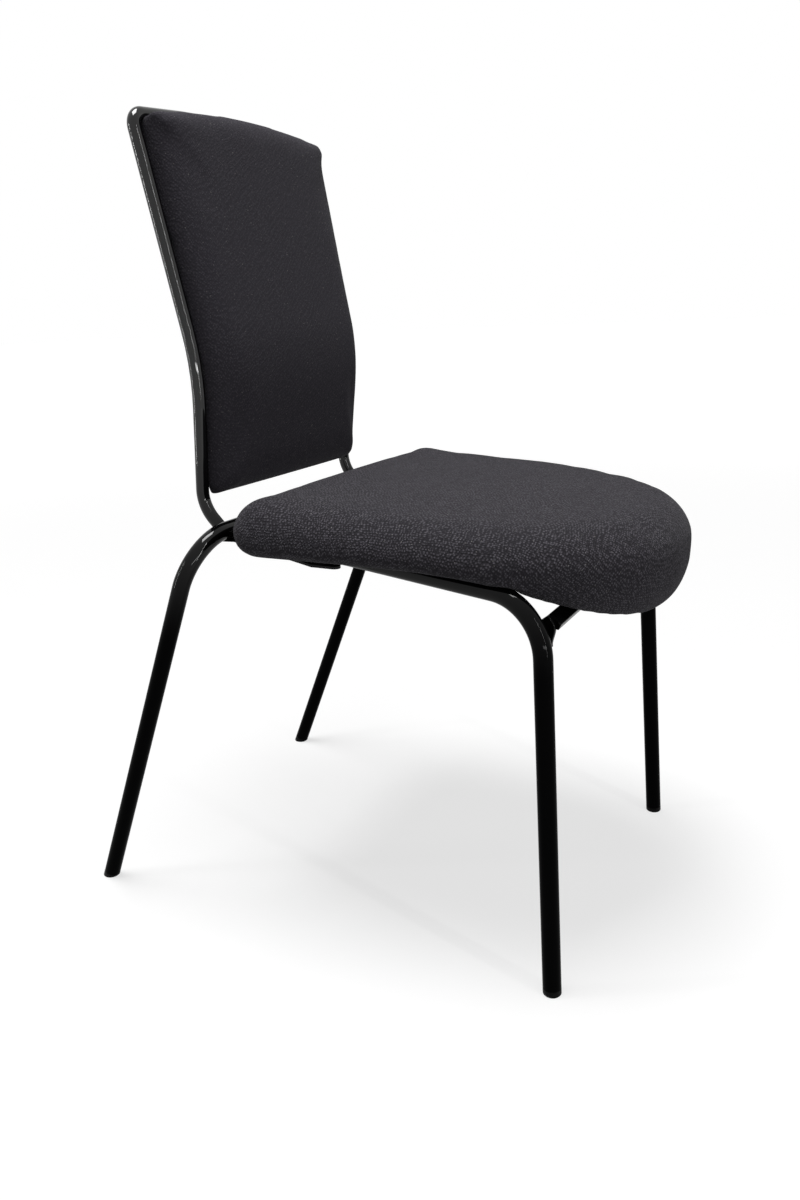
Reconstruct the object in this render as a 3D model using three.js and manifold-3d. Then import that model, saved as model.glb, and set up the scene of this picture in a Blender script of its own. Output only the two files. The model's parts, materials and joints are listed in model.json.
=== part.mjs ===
// A rigid choir chair: a bent steel tube frame with an upholstered seat and back.
// Millimetres, +Z up, the sitter faces -Y, +X is the sitter's left. The origin is on the
// floor, in the middle of the chair's length and width.
import * as THREE from 'three';
import { mergeVertices } from 'three/addons/utils/BufferGeometryUtils.js';
import Module from 'manifold-3d';

const wasm = await Module();
wasm.setup();

// Driving dimensions: tube stock, and the gap that touching pieces keep
const legTube = { od: 20, wall: 2, sides: 20, boreSides: 12 };
const backTube = { od: 15, wall: 1.5, sides: 14, boreSides: 8 };
const clearance = 0.3;
const overrun = 6;

// Driving dimension: half of the seat's width. Places across are insets from the seat's side.
const halfWidth = 236;
const fromSide = (inset) => halfWidth - inset;

// Driving dimensions: centre lines of the two front frames and of the rear frame
const frontInset = { foot: 18, bend: 37, railEnd: 124 };
const rearInset = { foot: 6, bend: 1 };
const frontFoot = { x: fromSide(frontInset.foot), y: -301 };
const frontBend = { x: fromSide(frontInset.bend), y: -283.5, z: 423, radius: 64 };
const railEndX = fromSide(frontInset.railEnd);
const rearFoot = { x: fromSide(rearInset.foot), y: 301 };
const rearBend = { x: fromSide(rearInset.bend), y: 107.4, z: 465, radius: 60 };

// Driving dimensions: centre line of the back frame
const backInset = { foot: 76, top: 60 };
const upright = {
  footX: fromSide(backInset.foot), topX: fromSide(backInset.top), kneeY: 147.5, kneeZ: 489, kneeRadius: 45,
  lumbarY: 131.4, lumbarZ: 644, lumbarRadius: 306, topY: 180.4, topZ: 911.5, cornerRadius: 16,
  crown: 11, crownRadius: 1500, saddle: 6,
};

// Driving dimensions: steel strips that are welded to the tubes
const crossbar = { rearY: -283.6, width: 17, thickness: 8, edge: 1.5 };
const gusset = { thickness: 5, reach: 3, inner: 2, fromAngle: 147, toAngle: 161 };
const strapInset = { front: 89, rear: 66 };
const strap = {
  width: 15, thickness: 3, frontX: fromSide(strapInset.front), frontY: -27, kneeY: 4,
  rearX: fromSide(strapInset.rear), rearY: 120, hole: 6,
};

// Driving dimensions: the glides in the four feet
const glide = { height: 7, stem: 18, fit: 0.15, step: 1, stepHeight: 1.2, sides: 20 };

// Driving dimensions: the seat cushion's plan, top, waist and lower edge
const noseInset = 4;
const seat = {
  halfWidth, shoulderY: -114.4, noseY: -376.8, noseWidth: fromSide(noseInset), nosePower: 2.18,
  rearY: 77.5, rearCorner: 45,
  topZ: 506.5, topSlope: 0.0867, rearCrown: 0, frontCrown: 6.3,
  waistZ: 466.9, waistSlope: 0.0718,
  lowerZ: 448.6, fallSlope: 0.524, fallY: -217.5, fallBlend: 31,
  sideInset: 30.4, frontInset: 34.1, rearInset: 43, lowerInset: 20.1, lowerRearInset: 22,
  sidePower: 1.8, frontPower: 1.7, rearPower: 1.8,
};
const seatBoard = { thickness: 10, inset: 44, foldY: -205, foldRadius: 100, foldAngle: 27 };
const cloth = { thickness: 1.2, hem: 10, ease: 1, turn: 5 };

// Driving dimensions: the back cushion, with depths counted forwards from the frame's centre line
const backBelowTop = 3;
const back = {
  bottomZ: 499, topZ: upright.topZ - backBelowTop, crown: 9.5, tubeGap: 1.8, bottomCorner: 22, topCorner: 29,
  frontDepth: 31, frontCrown: 3, waistDepth: 6, topWaistDepth: 14,
  sideInset: 28, topInset: 20, rearInset: 5, topRearInset: 24, power: 2,
};
const backBoard = { thickness: 8, inset: 12, topInset: 27 };

// Driving dimensions: fasteners, and the tabs that hold the back
const seatScrew = {
  shank: 6, head: 10, headHeight: 3, socket: 4, socketDepth: 2, rearY: 20, frontY: -165,
};
const backScrew = { shank: 5, head: 10, headHeight: 2.6, socket: 3, socketDepth: 1.6 };
const tNut = { flange: 15, flangeHeight: 1.2, barrelWall: 1.2, barrelLength: 7, fit: 0.15 };
const tabFromEnd = { bottom: 61, top: 63.5 };
const backTab = {
  width: 20, thickness: 2.5, reach: 26, past: 9, underTube: 4,
  lowZ: back.bottomZ + tabFromEnd.bottom, highZ: back.topZ - tabFromEnd.top,
};

// How finely rounds are divided
const divisions = {
  bend: 9, softBend: 5, screw: 12, rear: 2, corner: 4, side: 3, front: 9, lower: 3, upper: 4,
  middle: 3, fold: 5,
};

const degree = Math.PI / 180;
const hexagon = 6;
const domeShare = 0.7;
const boreFitShare = 0.96;
const black = 0x0b0b0c;

const paint = new THREE.MeshStandardMaterial({ color: black, roughness: 0.18, metalness: 0.1 });
const plastic = new THREE.MeshStandardMaterial({ color: 0x141414, roughness: 0.55, metalness: 0 });
const fabric = new THREE.MeshStandardMaterial({ color: 0x191a1d, roughness: 0.95, metalness: 0 });
const felt = new THREE.MeshStandardMaterial({ color: 0x101011, roughness: 1, metalness: 0 });
const foam = new THREE.MeshStandardMaterial({ color: 0xb9b39b, roughness: 1, metalness: 0 });
const plywood = new THREE.MeshStandardMaterial({ color: 0xb08a5a, roughness: 0.7, metalness: 0 });
const zinc = new THREE.MeshStandardMaterial({ color: 0xa9abad, roughness: 0.35, metalness: 0.9 });

const chair = new THREE.Group();

function addPiece(name, geometry, material, parent = chair) {
  const mesh = new THREE.Mesh(geometry, material);
  mesh.name = name;
  parent.add(mesh);
  return mesh;
}

const vector = (x, y, z) => new THREE.Vector3(x, y, z);

// Closed meshes become solids for cuts, and come back as geometries
function toSolid(geometry) {
  const bare = geometry.clone();
  bare.deleteAttribute('normal');
  bare.deleteAttribute('uv');
  const merged = mergeVertices(bare);
  return new wasm.Manifold(new wasm.Mesh({
    numProp: 3,
    vertProperties: new Float32Array(merged.attributes.position.array),
    triVerts: new Uint32Array(merged.index.array),
  }));
}

function toGeometry(solid) {
  const mesh = solid.getMesh();
  const geometry = new THREE.BufferGeometry();
  geometry.setAttribute('position', new THREE.BufferAttribute(mesh.vertProperties, mesh.numProp));
  geometry.setIndex(new THREE.BufferAttribute(mesh.triVerts, 1));
  return geometry;
}

function cut(geometry, ...tools) {
  return toGeometry(tools.reduce((rest, tool) => rest.subtract(toSolid(tool)), toSolid(geometry)));
}

// A tube's centre line: straight runs joined by arcs. Straight runs take one step and each
// arc takes several, so the stations are not spread by length.
class BentLine extends THREE.Curve {
  constructor(corners, stepsPerBend = divisions.bend) {
    super();
    this.stations = [];
    corners.forEach((corner, index) => {
      const before = corners[index - 1];
      const after = corners[index + 1];
      if (!corner.radius || !before || !after) {
        const other = after ?? before;
        const along = vector().subVectors(other.point, corner.point).normalize();
        this.stations.push({ point: corner.point, tangent: after ? along : along.negate() });
        return;
      }
      const inward = vector().subVectors(corner.point, before.point).normalize();
      const outward = vector().subVectors(after.point, corner.point).normalize();
      const turn = inward.angleTo(outward);
      const run = corner.radius * Math.tan(turn / 2);
      const start = corner.point.clone().addScaledVector(inward, -run);
      const side = outward.clone().addScaledVector(inward, -outward.dot(inward)).normalize();
      const centre = start.clone().addScaledVector(side, corner.radius);
      for (let step = 0; step <= stepsPerBend; step++) {
        const angle = turn * step / stepsPerBend;
        const point = centre.clone()
          .addScaledVector(inward, corner.radius * Math.sin(angle))
          .addScaledVector(side, -corner.radius * Math.cos(angle));
        const tangent = inward.clone().multiplyScalar(Math.cos(angle))
          .addScaledVector(side, Math.sin(angle));
        this.stations.push({ point, tangent });
      }
    });
  }

  get steps() {
    return this.stations.length - 1;
  }

  blend(t, key, target) {
    const place = THREE.MathUtils.clamp(t, 0, 1) * this.steps;
    const index = Math.min(Math.floor(place), this.steps - 1);
    return target.lerpVectors(this.stations[index][key], this.stations[index + 1][key], place - index);
  }

  getPoint(t, target = vector()) {
    return this.blend(t, 'point', target);
  }

  getPointAt(t, target) {
    return this.getPoint(t, target);
  }

  getTangentAt(t, target = vector()) {
    return this.blend(t, 'tangent', target).normalize();
  }
}

const corner = (x, y, z, radius = 0) => ({ point: vector(x, y, z), radius });

function ring(radius, sides) {
  return Array.from({ length: sides }, (_, index) => {
    const angle = 2 * Math.PI * index / sides;
    return new THREE.Vector2(radius * Math.cos(angle), radius * Math.sin(angle));
  });
}

function sweepTube(line, stock, grow = 0) {
  const section = new THREE.Shape(ring(stock.od / 2 + grow, stock.sides));
  if (!grow) section.holes.push(new THREE.Path(ring(stock.od / 2 - stock.wall, stock.boreSides)));
  return new THREE.ExtrudeGeometry(section, { steps: line.steps, extrudePath: line });
}

// A closed profile of [radius, height] pairs turned about Z
function turned(profile, sides) {
  return new THREE.LatheGeometry(profile.map(([r, z]) => new THREE.Vector2(r, z)), sides)
    .rotateX(Math.PI / 2);
}

function upwardCylinder(radius, low, high, sides) {
  return new THREE.CylinderGeometry(radius, radius, high - low, sides)
    .rotateX(Math.PI / 2).translate(0, 0, (low + high) / 2);
}

// Frame lines. The rails pass under the rear crossbar and are welded to its underside.
const railUnderBar = legTube.od + clearance;
const rail = {
  endY: rearBend.y + legTube.od / 2,
  slope: (rearBend.z - railUnderBar - frontBend.z) / (rearBend.y - frontBend.y),
  converge: (frontBend.x - railEndX) / (rearBend.y - frontBend.y),
};
const railX = (y) => frontBend.x - rail.converge * (y - frontBend.y);
const railZ = (y) => frontBend.z + rail.slope * (y - frontBend.y);
const railTopZ = (y) => railZ(y) + legTube.od / 2;

const frontLine = (side) => new BentLine([
  corner(side * frontFoot.x, frontFoot.y, glide.height),
  corner(side * frontBend.x, frontBend.y, frontBend.z, frontBend.radius),
  corner(side * railX(rail.endY), rail.endY, railZ(rail.endY)),
]);

const rearLine = new BentLine([
  corner(-rearFoot.x, rearFoot.y, glide.height),
  corner(-rearBend.x, rearBend.y, rearBend.z, rearBend.radius),
  corner(rearBend.x, rearBend.y, rearBend.z, rearBend.radius),
  corner(rearFoot.x, rearFoot.y, glide.height),
]);

// The back frame stands on the rear side of the crossbar, where a saddle is cut into each upright
const uprightFoot = {
  y: rearBend.y + (legTube.od + backTube.od) / 2 + clearance,
  z: rearBend.z,
};
const footLean = (upright.kneeY - uprightFoot.y) / (upright.kneeZ - uprightFoot.z);
const backFoot = (side) => corner(
  side * upright.footX, uprightFoot.y - footLean * upright.saddle, uprightFoot.z - upright.saddle,
);
const flare = (upright.topX - upright.footX) / (upright.topZ - uprightFoot.z);
const uprightX = (z) => upright.footX + flare * (z - uprightFoot.z);

const backLine = new BentLine([
  backFoot(-1),
  corner(-uprightX(upright.kneeZ), upright.kneeY, upright.kneeZ, upright.kneeRadius),
  corner(-uprightX(upright.lumbarZ), upright.lumbarY, upright.lumbarZ, upright.lumbarRadius),
  corner(-upright.topX, upright.topY, upright.topZ, upright.cornerRadius),
  corner(0, upright.topY, upright.topZ + upright.crown, upright.crownRadius),
  corner(upright.topX, upright.topY, upright.topZ, upright.cornerRadius),
  corner(uprightX(upright.lumbarZ), upright.lumbarY, upright.lumbarZ, upright.lumbarRadius),
  corner(uprightX(upright.kneeZ), upright.kneeY, upright.kneeZ, upright.kneeRadius),
  backFoot(1),
], divisions.softBend);

const sides = [['right', -1], ['left', 1]];

// One layer of cloth, the cover's hem or the dust cover, lies between the board and the rails
const underStack = cloth.thickness + 2 * clearance;

// Where the front frame's bend turns, seen from the side
const bendCentre = (() => {
  const rise = Math.atan2(frontBend.z - glide.height, frontBend.y - frontFoot.y);
  const level = Math.atan(rail.slope);
  const run = frontBend.radius * Math.tan((rise - level) / 2);
  const startY = frontBend.y + run * Math.cos(level);
  return {
    startY,
    y: startY + frontBend.radius * Math.sin(level),
    z: frontBend.z + run * Math.sin(level) - frontBend.radius * Math.cos(level),
  };
})();

// The top of a front frame above a point of the plan, with some room round the tube
function frameTopZ(x, y, room) {
  const radius = legTube.od / 2 + room;
  const across = Math.abs(Math.abs(x) - railX(y));
  if (across >= radius) return 0;
  const up = Math.sqrt(radius ** 2 - across ** 2);
  if (y > bendCentre.startY) return railZ(y) + up;
  const reach = frontBend.radius + up;
  const forward = bendCentre.y - y;
  return forward < reach ? bendCentre.z + Math.sqrt(reach ** 2 - forward ** 2) : 0;
}

// Where the seat's underside lies: flat on the rails, then folded down over the crossbar
const fold = (() => {
  const entry = Math.atan(rail.slope);
  const exit = seatBoard.foldAngle * degree;
  const startZ = railTopZ(seatBoard.foldY) + underStack;
  const centreY = seatBoard.foldY + seatBoard.foldRadius * Math.sin(entry);
  const centreZ = startZ - seatBoard.foldRadius * Math.cos(entry);
  return { entry, exit, startZ, centreY, centreZ };
})();

function boardLine(offset, tailY, noseY) {
  // Points of the board's side view, offset along its normal from the underside
  const radius = seatBoard.foldRadius + offset;
  const points = [];
  const lift = offset / Math.cos(fold.entry);
  const atTail = fold.startZ + rail.slope * (tailY - seatBoard.foldY) + lift;
  points.push([tailY, atTail]);
  for (let step = 0; step <= divisions.fold; step++) {
    const angle = THREE.MathUtils.lerp(fold.entry, fold.exit, step / divisions.fold);
    points.push([fold.centreY - radius * Math.sin(angle), fold.centreZ + radius * Math.cos(angle)]);
  }
  const [lastY, lastZ] = points.at(-1);
  points.push([noseY, lastZ - (lastY - noseY) * Math.tan(fold.exit)]);
  return points;
}

function undersideZ(y) {
  const line = boardLine(0, seat.rearY, seat.noseY);
  const index = line.findIndex(([pointY]) => pointY < y);
  if (index < 1) return index === 0 ? line[0][1] : line.at(-1)[1];
  const [y0, z0] = line[index - 1];
  const [y1, z1] = line[index];
  return z0 + (z1 - z0) * (y - y0) / (y1 - y0);
}

// Turns a drawing in X and Y into a side view in Y and Z, pushed out along X
const sideways = new THREE.Matrix4().makeBasis(vector(0, 1, 0), vector(0, 0, 1), vector(1, 0, 0));

// A side view in Y and Z, given as points, pushed out along X
function sideExtrusion(points, halfWidth) {
  const shape = new THREE.Shape(points.map(([y, z]) => new THREE.Vector2(y, z)));
  return new THREE.ExtrudeGeometry(shape, { depth: 2 * halfWidth, bevelEnabled: false })
    .translate(0, 0, -halfWidth).applyMatrix4(sideways);
}

// A plan in X and Y, given as points, pushed up along Z
function planExtrusion(points, low, high) {
  const shape = new THREE.Shape(points.map(([x, y]) => new THREE.Vector2(x, y)));
  return new THREE.ExtrudeGeometry(shape, { depth: high - low, bevelEnabled: false })
    .translate(0, 0, low);
}

// Half of a closed outline is mirrored into the other half
function mirrored(half) {
  const other = half.filter((p) => p.a !== 0).reverse().map((p) => ({ ...p, a: -p.a, na: -p.na }));
  return [...half, ...other];
}

// The seat's plan, from the middle of the rear edge round the sitter's left to the nose.
// Outline points are places a and b with an outward normal.
function seatOutline() {
  const half = [];
  const straight = seat.halfWidth - seat.rearCorner;
  for (let step = 0; step < divisions.rear; step++) {
    half.push({ a: straight * step / divisions.rear, b: seat.rearY, na: 0, nb: 1 });
  }
  for (let step = 0; step <= divisions.corner; step++) {
    const angle = Math.PI / 2 * (1 - step / divisions.corner);
    half.push({
      a: straight + seat.rearCorner * Math.cos(angle),
      b: seat.rearY - seat.rearCorner + seat.rearCorner * Math.sin(angle),
      na: Math.cos(angle), nb: Math.sin(angle),
    });
  }
  for (let step = 1; step < divisions.side; step++) {
    const share = step / divisions.side;
    half.push({
      a: THREE.MathUtils.lerp(seat.halfWidth, seat.noseWidth, share),
      b: THREE.MathUtils.lerp(seat.rearY - seat.rearCorner, seat.shoulderY, share), na: 1, nb: 0,
    });
  }
  const depth = seat.shoulderY - seat.noseY;
  for (let step = 0; step <= divisions.front; step++) {
    const angle = Math.PI / 2 * step / divisions.front;
    const reach = step === divisions.front ? 0 : Math.cos(angle) ** (2 / seat.nosePower);
    const drop = Math.sin(angle) ** (2 / seat.nosePower);
    const normal = new THREE.Vector2(
      reach ** (seat.nosePower - 1) / seat.noseWidth, -(drop ** (seat.nosePower - 1)) / depth,
    ).normalize();
    half.push({ a: seat.noseWidth * reach, b: seat.shoulderY - depth * drop, na: normal.x, nb: normal.y });
  }
  return mirrored(half);
}

function seatTopZ(x, y) {
  const forward = THREE.MathUtils.clamp(2 * (seat.rearY - y) / (seat.rearY - seat.noseY), 0, 1);
  const crown = THREE.MathUtils.lerp(seat.rearCrown, seat.frontCrown, forward);
  return seat.topZ + seat.topSlope * y + crown * (1 - (x / seat.halfWidth) ** 2);
}

function seatLowerZ(y, nb) {
  const fallen = Math.log1p(Math.exp((seat.fallY - y) / seat.fallBlend)) * seat.fallBlend;
  const lower = seat.lowerZ - seat.fallSlope * fallen;
  const rearShare = Math.max(0, nb) ** 2;
  return lower + rearShare * Math.max(0, undersideZ(y) - lower);
}

// Values for the sides, the front or bottom, and the rear or top, blended by an outline's normal
function byNormal(p, side, low, high) {
  const lowShare = Math.max(0, -p.nb) ** 2;
  const highShare = Math.max(0, p.nb) ** 2;
  return side * (1 - lowShare - highShare) + low * lowShare + high * highShare;
}

const seatLowerInset = (p) => byNormal(p, seat.lowerInset, seat.frontInset, seat.lowerRearInset);

const seatPillow = {
  outline: seatOutline(),
  middle: (seat.rearY + seat.noseY) / 2,
  lowerInset: seatLowerInset,
  upperInset: (p) => byNormal(p, seat.sideInset, seat.frontInset, seat.rearInset),
  hemInset: (p) => Math.max(seatBoard.inset - cloth.ease, seatLowerInset(p) + cloth.turn),
  power: (p) => byNormal(p, seat.sidePower, seat.frontPower, seat.rearPower),
  hem: (x, y, shrink) => undersideZ(y) - cloth.thickness - clearance + shrink,
  waist: (x, y) => seat.waistZ + seat.waistSlope * y,
  lower: (x, y, p, shrink) => seatLowerZ(y, p.nb) + shrink,
  upper: (x, y, shrink) => seatTopZ(x, y) - shrink,
  floor: (x, y, shrink) => frameTopZ(x, y, cloth.ease + shrink),
  place: (x, y, z) => vector(x, y, z),
};

// Rings of points over a cushion, from the hem behind its board to the middle of its face.
// shrink moves every point inwards, so that layers of cloth and foam nest.
function pillowRings(pillow, shrink, withHem) {
  const ringAt = (insetOf, heightOf) => pillow.outline.map((p) => {
    const inset = insetOf(p) + shrink;
    const a = p.a - p.na * inset;
    const b = p.b - p.nb * inset;
    return { a, b, height: heightOf(a, b, p) };
  });
  const hem = (a, b) => pillow.hem(a, b, shrink);
  const hemInset = (p) => pillow.hemInset(p) - shrink;
  const rings = [ringAt(hemInset, hem)];
  if (withHem) rings.unshift(ringAt((p) => hemInset(p) + cloth.hem, hem));
  const quarter = (angle, power) => ({
    out: 1 - Math.cos(angle) ** (2 / power), along: Math.sin(angle) ** (2 / power),
  });
  for (let step = divisions.lower; step >= 0; step--) {
    const angle = Math.PI / 2 * step / divisions.lower;
    rings.push(ringAt((p) => quarter(angle, pillow.power(p)).out * pillow.lowerInset(p), (a, b, p) => {
      const share = quarter(angle, pillow.power(p)).along;
      const height = THREE.MathUtils.lerp(pillow.waist(a, b, p), pillow.lower(a, b, p, shrink), share);
      return Math.max(height, pillow.floor(a, b, shrink));
    }));
  }
  for (let step = 1; step <= divisions.upper; step++) {
    const angle = Math.PI / 2 * step / divisions.upper;
    rings.push(ringAt((p) => quarter(angle, pillow.power(p)).out * pillow.upperInset(p), (a, b, p) => {
      const share = quarter(angle, pillow.power(p)).along;
      return THREE.MathUtils.lerp(pillow.waist(a, b, p), pillow.upper(a, b, shrink), share);
    }));
  }
  const rim = rings.at(-1);
  for (let step = divisions.middle - 1; step > 0; step--) {
    const share = step / divisions.middle;
    rings.push(rim.map((p) => {
      const a = p.a * share;
      const b = THREE.MathUtils.lerp(pillow.middle, p.b, share);
      return { a, b, height: pillow.upper(a, b, shrink) };
    }));
  }
  return {
    rings: rings.map((loop) => loop.map((p) => pillow.place(p.a, p.b, p.height))),
    pole: pillow.place(0, pillow.middle, pillow.upper(0, pillow.middle, shrink)),
  };
}

// Triangles over rings that close to a pole; flipped for an inner face
function skinFaces(rings, pole, points, flip) {
  const faces = [];
  const base = points.length;
  const count = rings[0].length;
  rings.forEach((loop) => points.push(...loop));
  points.push(pole);
  const add = (a, b, c) => faces.push(...(flip ? [a, c, b] : [a, b, c]));
  for (let row = 0; row < rings.length - 1; row++) {
    for (let index = 0; index < count; index++) {
      const next = (index + 1) % count;
      const low = base + row * count;
      const high = low + count;
      add(low + next, low + index, high + index);
      add(low + next, high + index, high + next);
    }
  }
  const last = base + (rings.length - 1) * count;
  for (let index = 0; index < count; index++) {
    add(last + (index + 1) % count, last + index, points.length - 1);
  }
  return { faces, base, count };
}

function indexed(points, faces) {
  const geometry = new THREE.BufferGeometry().setFromPoints(points);
  geometry.setIndex(faces);
  return geometry;
}

// A cloth shell, open below: outer face, inner face and the cut edge between them
function shellOf(outer, inner) {
  const points = [];
  const skin = skinFaces(outer.rings, outer.pole, points, false);
  const lining = skinFaces(inner.rings, inner.pole, points, true);
  const faces = [...skin.faces, ...lining.faces];
  for (let index = 0; index < skin.count; index++) {
    const next = (index + 1) % skin.count;
    const [a, b] = [skin.base + index, skin.base + next];
    const [c, d] = [lining.base + index, lining.base + next];
    faces.push(a, b, d, a, d, c);
  }
  return indexed(points, faces);
}

// A body whose first ring is closed by a flat fan round its own middle
function bodyOf({ rings, pole }) {
  const points = [];
  const { faces, base, count } = skinFaces(rings, pole, points, false);
  const middle = vector();
  rings[0].forEach((p) => middle.add(p));
  points.push(middle.divideScalar(count));
  for (let index = 0; index < count; index++) {
    faces.push(base + index, base + (index + 1) % count, points.length - 1);
  }
  return indexed(points, faces);
}

// The plan drawn in by an inset. Past the corner's own radius, its arc shrinks to one point.
function insetPlan(inset) {
  const wide = seat.noseWidth - inset;
  const wideRear = seat.halfWidth - inset;
  const deep = seat.rearY - inset;
  const points = seatPillow.outline.map((p) => {
    const limit = p.nb < 0 ? wide : wideRear;
    const x = THREE.MathUtils.clamp(p.a - p.na * inset, -limit, limit);
    return [x, Math.min(p.b - p.nb * inset, deep)];
  });
  return points.filter(([x, y], index) => {
    const [nextX, nextY] = points[(index + 1) % points.length];
    return Math.hypot(nextX - x, nextY - y) > clearance;
  }).reverse();
}

// Room for the front frames, cut from whatever lies round them
const frameRoom = sides.map(([, side]) => sweepTube(frontLine(side), legTube, 2 * clearance));

// A sheet that follows the board between two offsets, or all the room below its upper offset
function panel(low, high, inset) {
  const tail = seat.rearY + overrun;
  const front = seat.noseY - overrun;
  const under = low === null ? [[tail, 0], [front, 0]] : boardLine(low, tail, front);
  const profile = [...under, ...boardLine(high, tail, front).reverse()];
  const slab = toSolid(sideExtrusion(profile, seat.noseWidth));
  return slab.intersect(toSolid(planExtrusion(insetPlan(inset), 0, upright.topZ)));
}

// Fixings: each is a group whose Z axis is the screw's, with its head at the low end
function fixing(name, matrix, screw, seatZ, gripLength, nutZ) {
  const group = new THREE.Group();
  matrix.decompose(group.position, group.quaternion, group.scale);
  chair.add(group);
  const shankRadius = screw.shank / 2;
  const tip = seatZ + gripLength;
  const body = turned([
    [0, seatZ - screw.headHeight], [screw.head / 2 * domeShare, seatZ - screw.headHeight],
    [screw.head / 2, seatZ - screw.headHeight * (1 - domeShare)], [screw.head / 2, seatZ],
    [shankRadius, seatZ], [shankRadius, tip], [0, tip],
  ], divisions.screw);
  const socket = upwardCylinder(
    screw.socket / Math.sqrt(3), seatZ - screw.headHeight - overrun,
    seatZ - screw.headHeight + screw.socketDepth, hexagon,
  );
  addPiece(`${name}_screw`, cut(body, socket), zinc, group);
  const bore = shankRadius + tNut.fit;
  const barrel = bore + tNut.barrelWall;
  addPiece(`${name}_t_nut`, turned([
    [bore, nutZ - tNut.barrelLength], [barrel, nutZ - tNut.barrelLength], [barrel, nutZ],
    [tNut.flange / 2, nutZ], [tNut.flange / 2, nutZ + tNut.flangeHeight],
    [bore, nutZ + tNut.flangeHeight], [bore, nutZ - tNut.barrelLength],
  ], divisions.screw), zinc, group);
}

const barrelRoom = (screw) => screw.shank / 2 + tNut.fit + tNut.barrelWall + clearance;
const placed = (geometry, matrix) => toSolid(geometry.applyMatrix4(matrix));

// Each seat screw stands square to its rail and runs up through it into the board
const seatFixings = sides.flatMap(([name, side]) => [
  ['front', seatScrew.frontY], ['rear', seatScrew.rearY],
].map(([place, y]) => ({
  name: `seat_${place}_${name}`,
  matrix: new THREE.Matrix4().makeTranslation(side * railX(y), y, railZ(y))
    .multiply(new THREE.Matrix4().makeRotationX(Math.atan(rail.slope))),
  side,
})));
// The heads bear inside the rails, under the upper wall, and are reached through the lower wall
const boreFlat = (legTube.od / 2 - legTube.wall) * Math.cos(Math.PI / legTube.boreSides);
const seatStack = {
  head: Math.sqrt(boreFlat ** 2 - (seatScrew.head / 2) ** 2) - clearance,
  boardTop: legTube.od / 2 + underStack + seatBoard.thickness,
};

function makeFrames() {
  addPiece('rear_frame', sweepTube(rearLine, legTube), paint);
  for (const [name, side] of sides) {
    const bores = seatFixings.filter((at) => at.side === side).flatMap(({ matrix }) => [
      upwardCylinder(seatScrew.shank / 2 + clearance, 0, legTube.od, divisions.screw),
      upwardCylinder(seatScrew.head / 2 + clearance, -legTube.od, 0, divisions.screw),
    ].map((bore) => bore.applyMatrix4(matrix)));
    addPiece(`front_frame_${name}`, cut(sweepTube(frontLine(side), legTube), ...bores), paint);
  }
  const saddles = sweepTube(rearLine, legTube, clearance);
  addPiece('back_frame', cut(sweepTube(backLine, backTube), saddles), paint);
}

// Glides plug into the tubes and are cut level with the floor
function makeGlide(name, line, atEnd) {
  const { point, tangent } = line.stations.at(atEnd ? -1 : 0);
  const up = tangent.clone().multiplyScalar(atEnd ? -1 : 1);
  const matrix = new THREE.Matrix4().makeRotationFromQuaternion(
    new THREE.Quaternion().setFromUnitVectors(vector(0, 0, 1), up),
  ).setPosition(point);
  const stem = legTube.od / 2 - legTube.wall - glide.fit;
  const bottom = -glide.height - legTube.od;
  const shape = (radius) => placed(turned([
    [0, bottom], [radius, bottom], [radius, -clearance], [stem * boreFitShare, -clearance],
    [stem * boreFitShare, glide.stem], [0, glide.stem],
  ], glide.sides), matrix);
  const block = (low, high) => toSolid(new THREE.BoxGeometry(legTube.od * 4, legTube.od * 4, high - low)
    .translate(point.x, point.y, (low + high) / 2));
  const upper = shape(legTube.od / 2).intersect(block(glide.stepHeight, 2 * glide.stem));
  const lower = shape(legTube.od / 2 - glide.step).intersect(block(0, 2 * glide.stepHeight));
  addPiece(name, toGeometry(upper.add(lower)), plastic);
}

function makeGlides() {
  makeGlide('rear_glide_right', rearLine, false);
  makeGlide('rear_glide_left', rearLine, true);
  for (const [name, side] of sides) makeGlide(`front_glide_${name}`, frontLine(side), false);
}

// The flat crossbar lies under the folded front of the board, between two gusset plates
function makeCrossbar() {
  const inner = railX(crossbar.rearY) - legTube.od / 2 - clearance - gusset.thickness;
  const length = 2 * (inner - clearance);
  const w = crossbar.width;
  const t = crossbar.thickness;
  const e = crossbar.edge;
  const section = new THREE.Shape();
  section.moveTo(-w + e, -t).lineTo(-e, -t).absarc(-e, -t + e, e, -Math.PI / 2, 0);
  section.lineTo(0, -e).absarc(-e, -e, e, 0, Math.PI / 2);
  section.lineTo(-w + e, 0).absarc(-w + e, -e, e, Math.PI / 2, Math.PI);
  section.lineTo(-w, -t + e).absarc(-w + e, -t + e, e, Math.PI, 3 * Math.PI / 2);
  const bar = new THREE.ExtrudeGeometry(section, { depth: length, bevelEnabled: false, curveSegments: 2 })
    .translate(0, 0, -length / 2).applyMatrix4(sideways);
  const topZ = undersideZ(crossbar.rearY) - underStack / Math.cos(fold.exit);
  addPiece('front_crossbar', bar.rotateX(fold.exit).translate(0, crossbar.rearY, topZ), paint);
  for (const [name, side] of sides) {
    const plate = new THREE.ExtrudeGeometry(gussetOutline(), {
      depth: gusset.thickness, bevelEnabled: false, curveSegments: 5,
    }).applyMatrix4(sideways)
      .translate(side > 0 ? inner : -inner - gusset.thickness, bendCentre.y, bendCentre.z);
    const room = sweepTube(frontLine(side), legTube, clearance);
    addPiece(`crossbar_gusset_${name}`, cut(plate, room), paint);
  }
}

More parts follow.
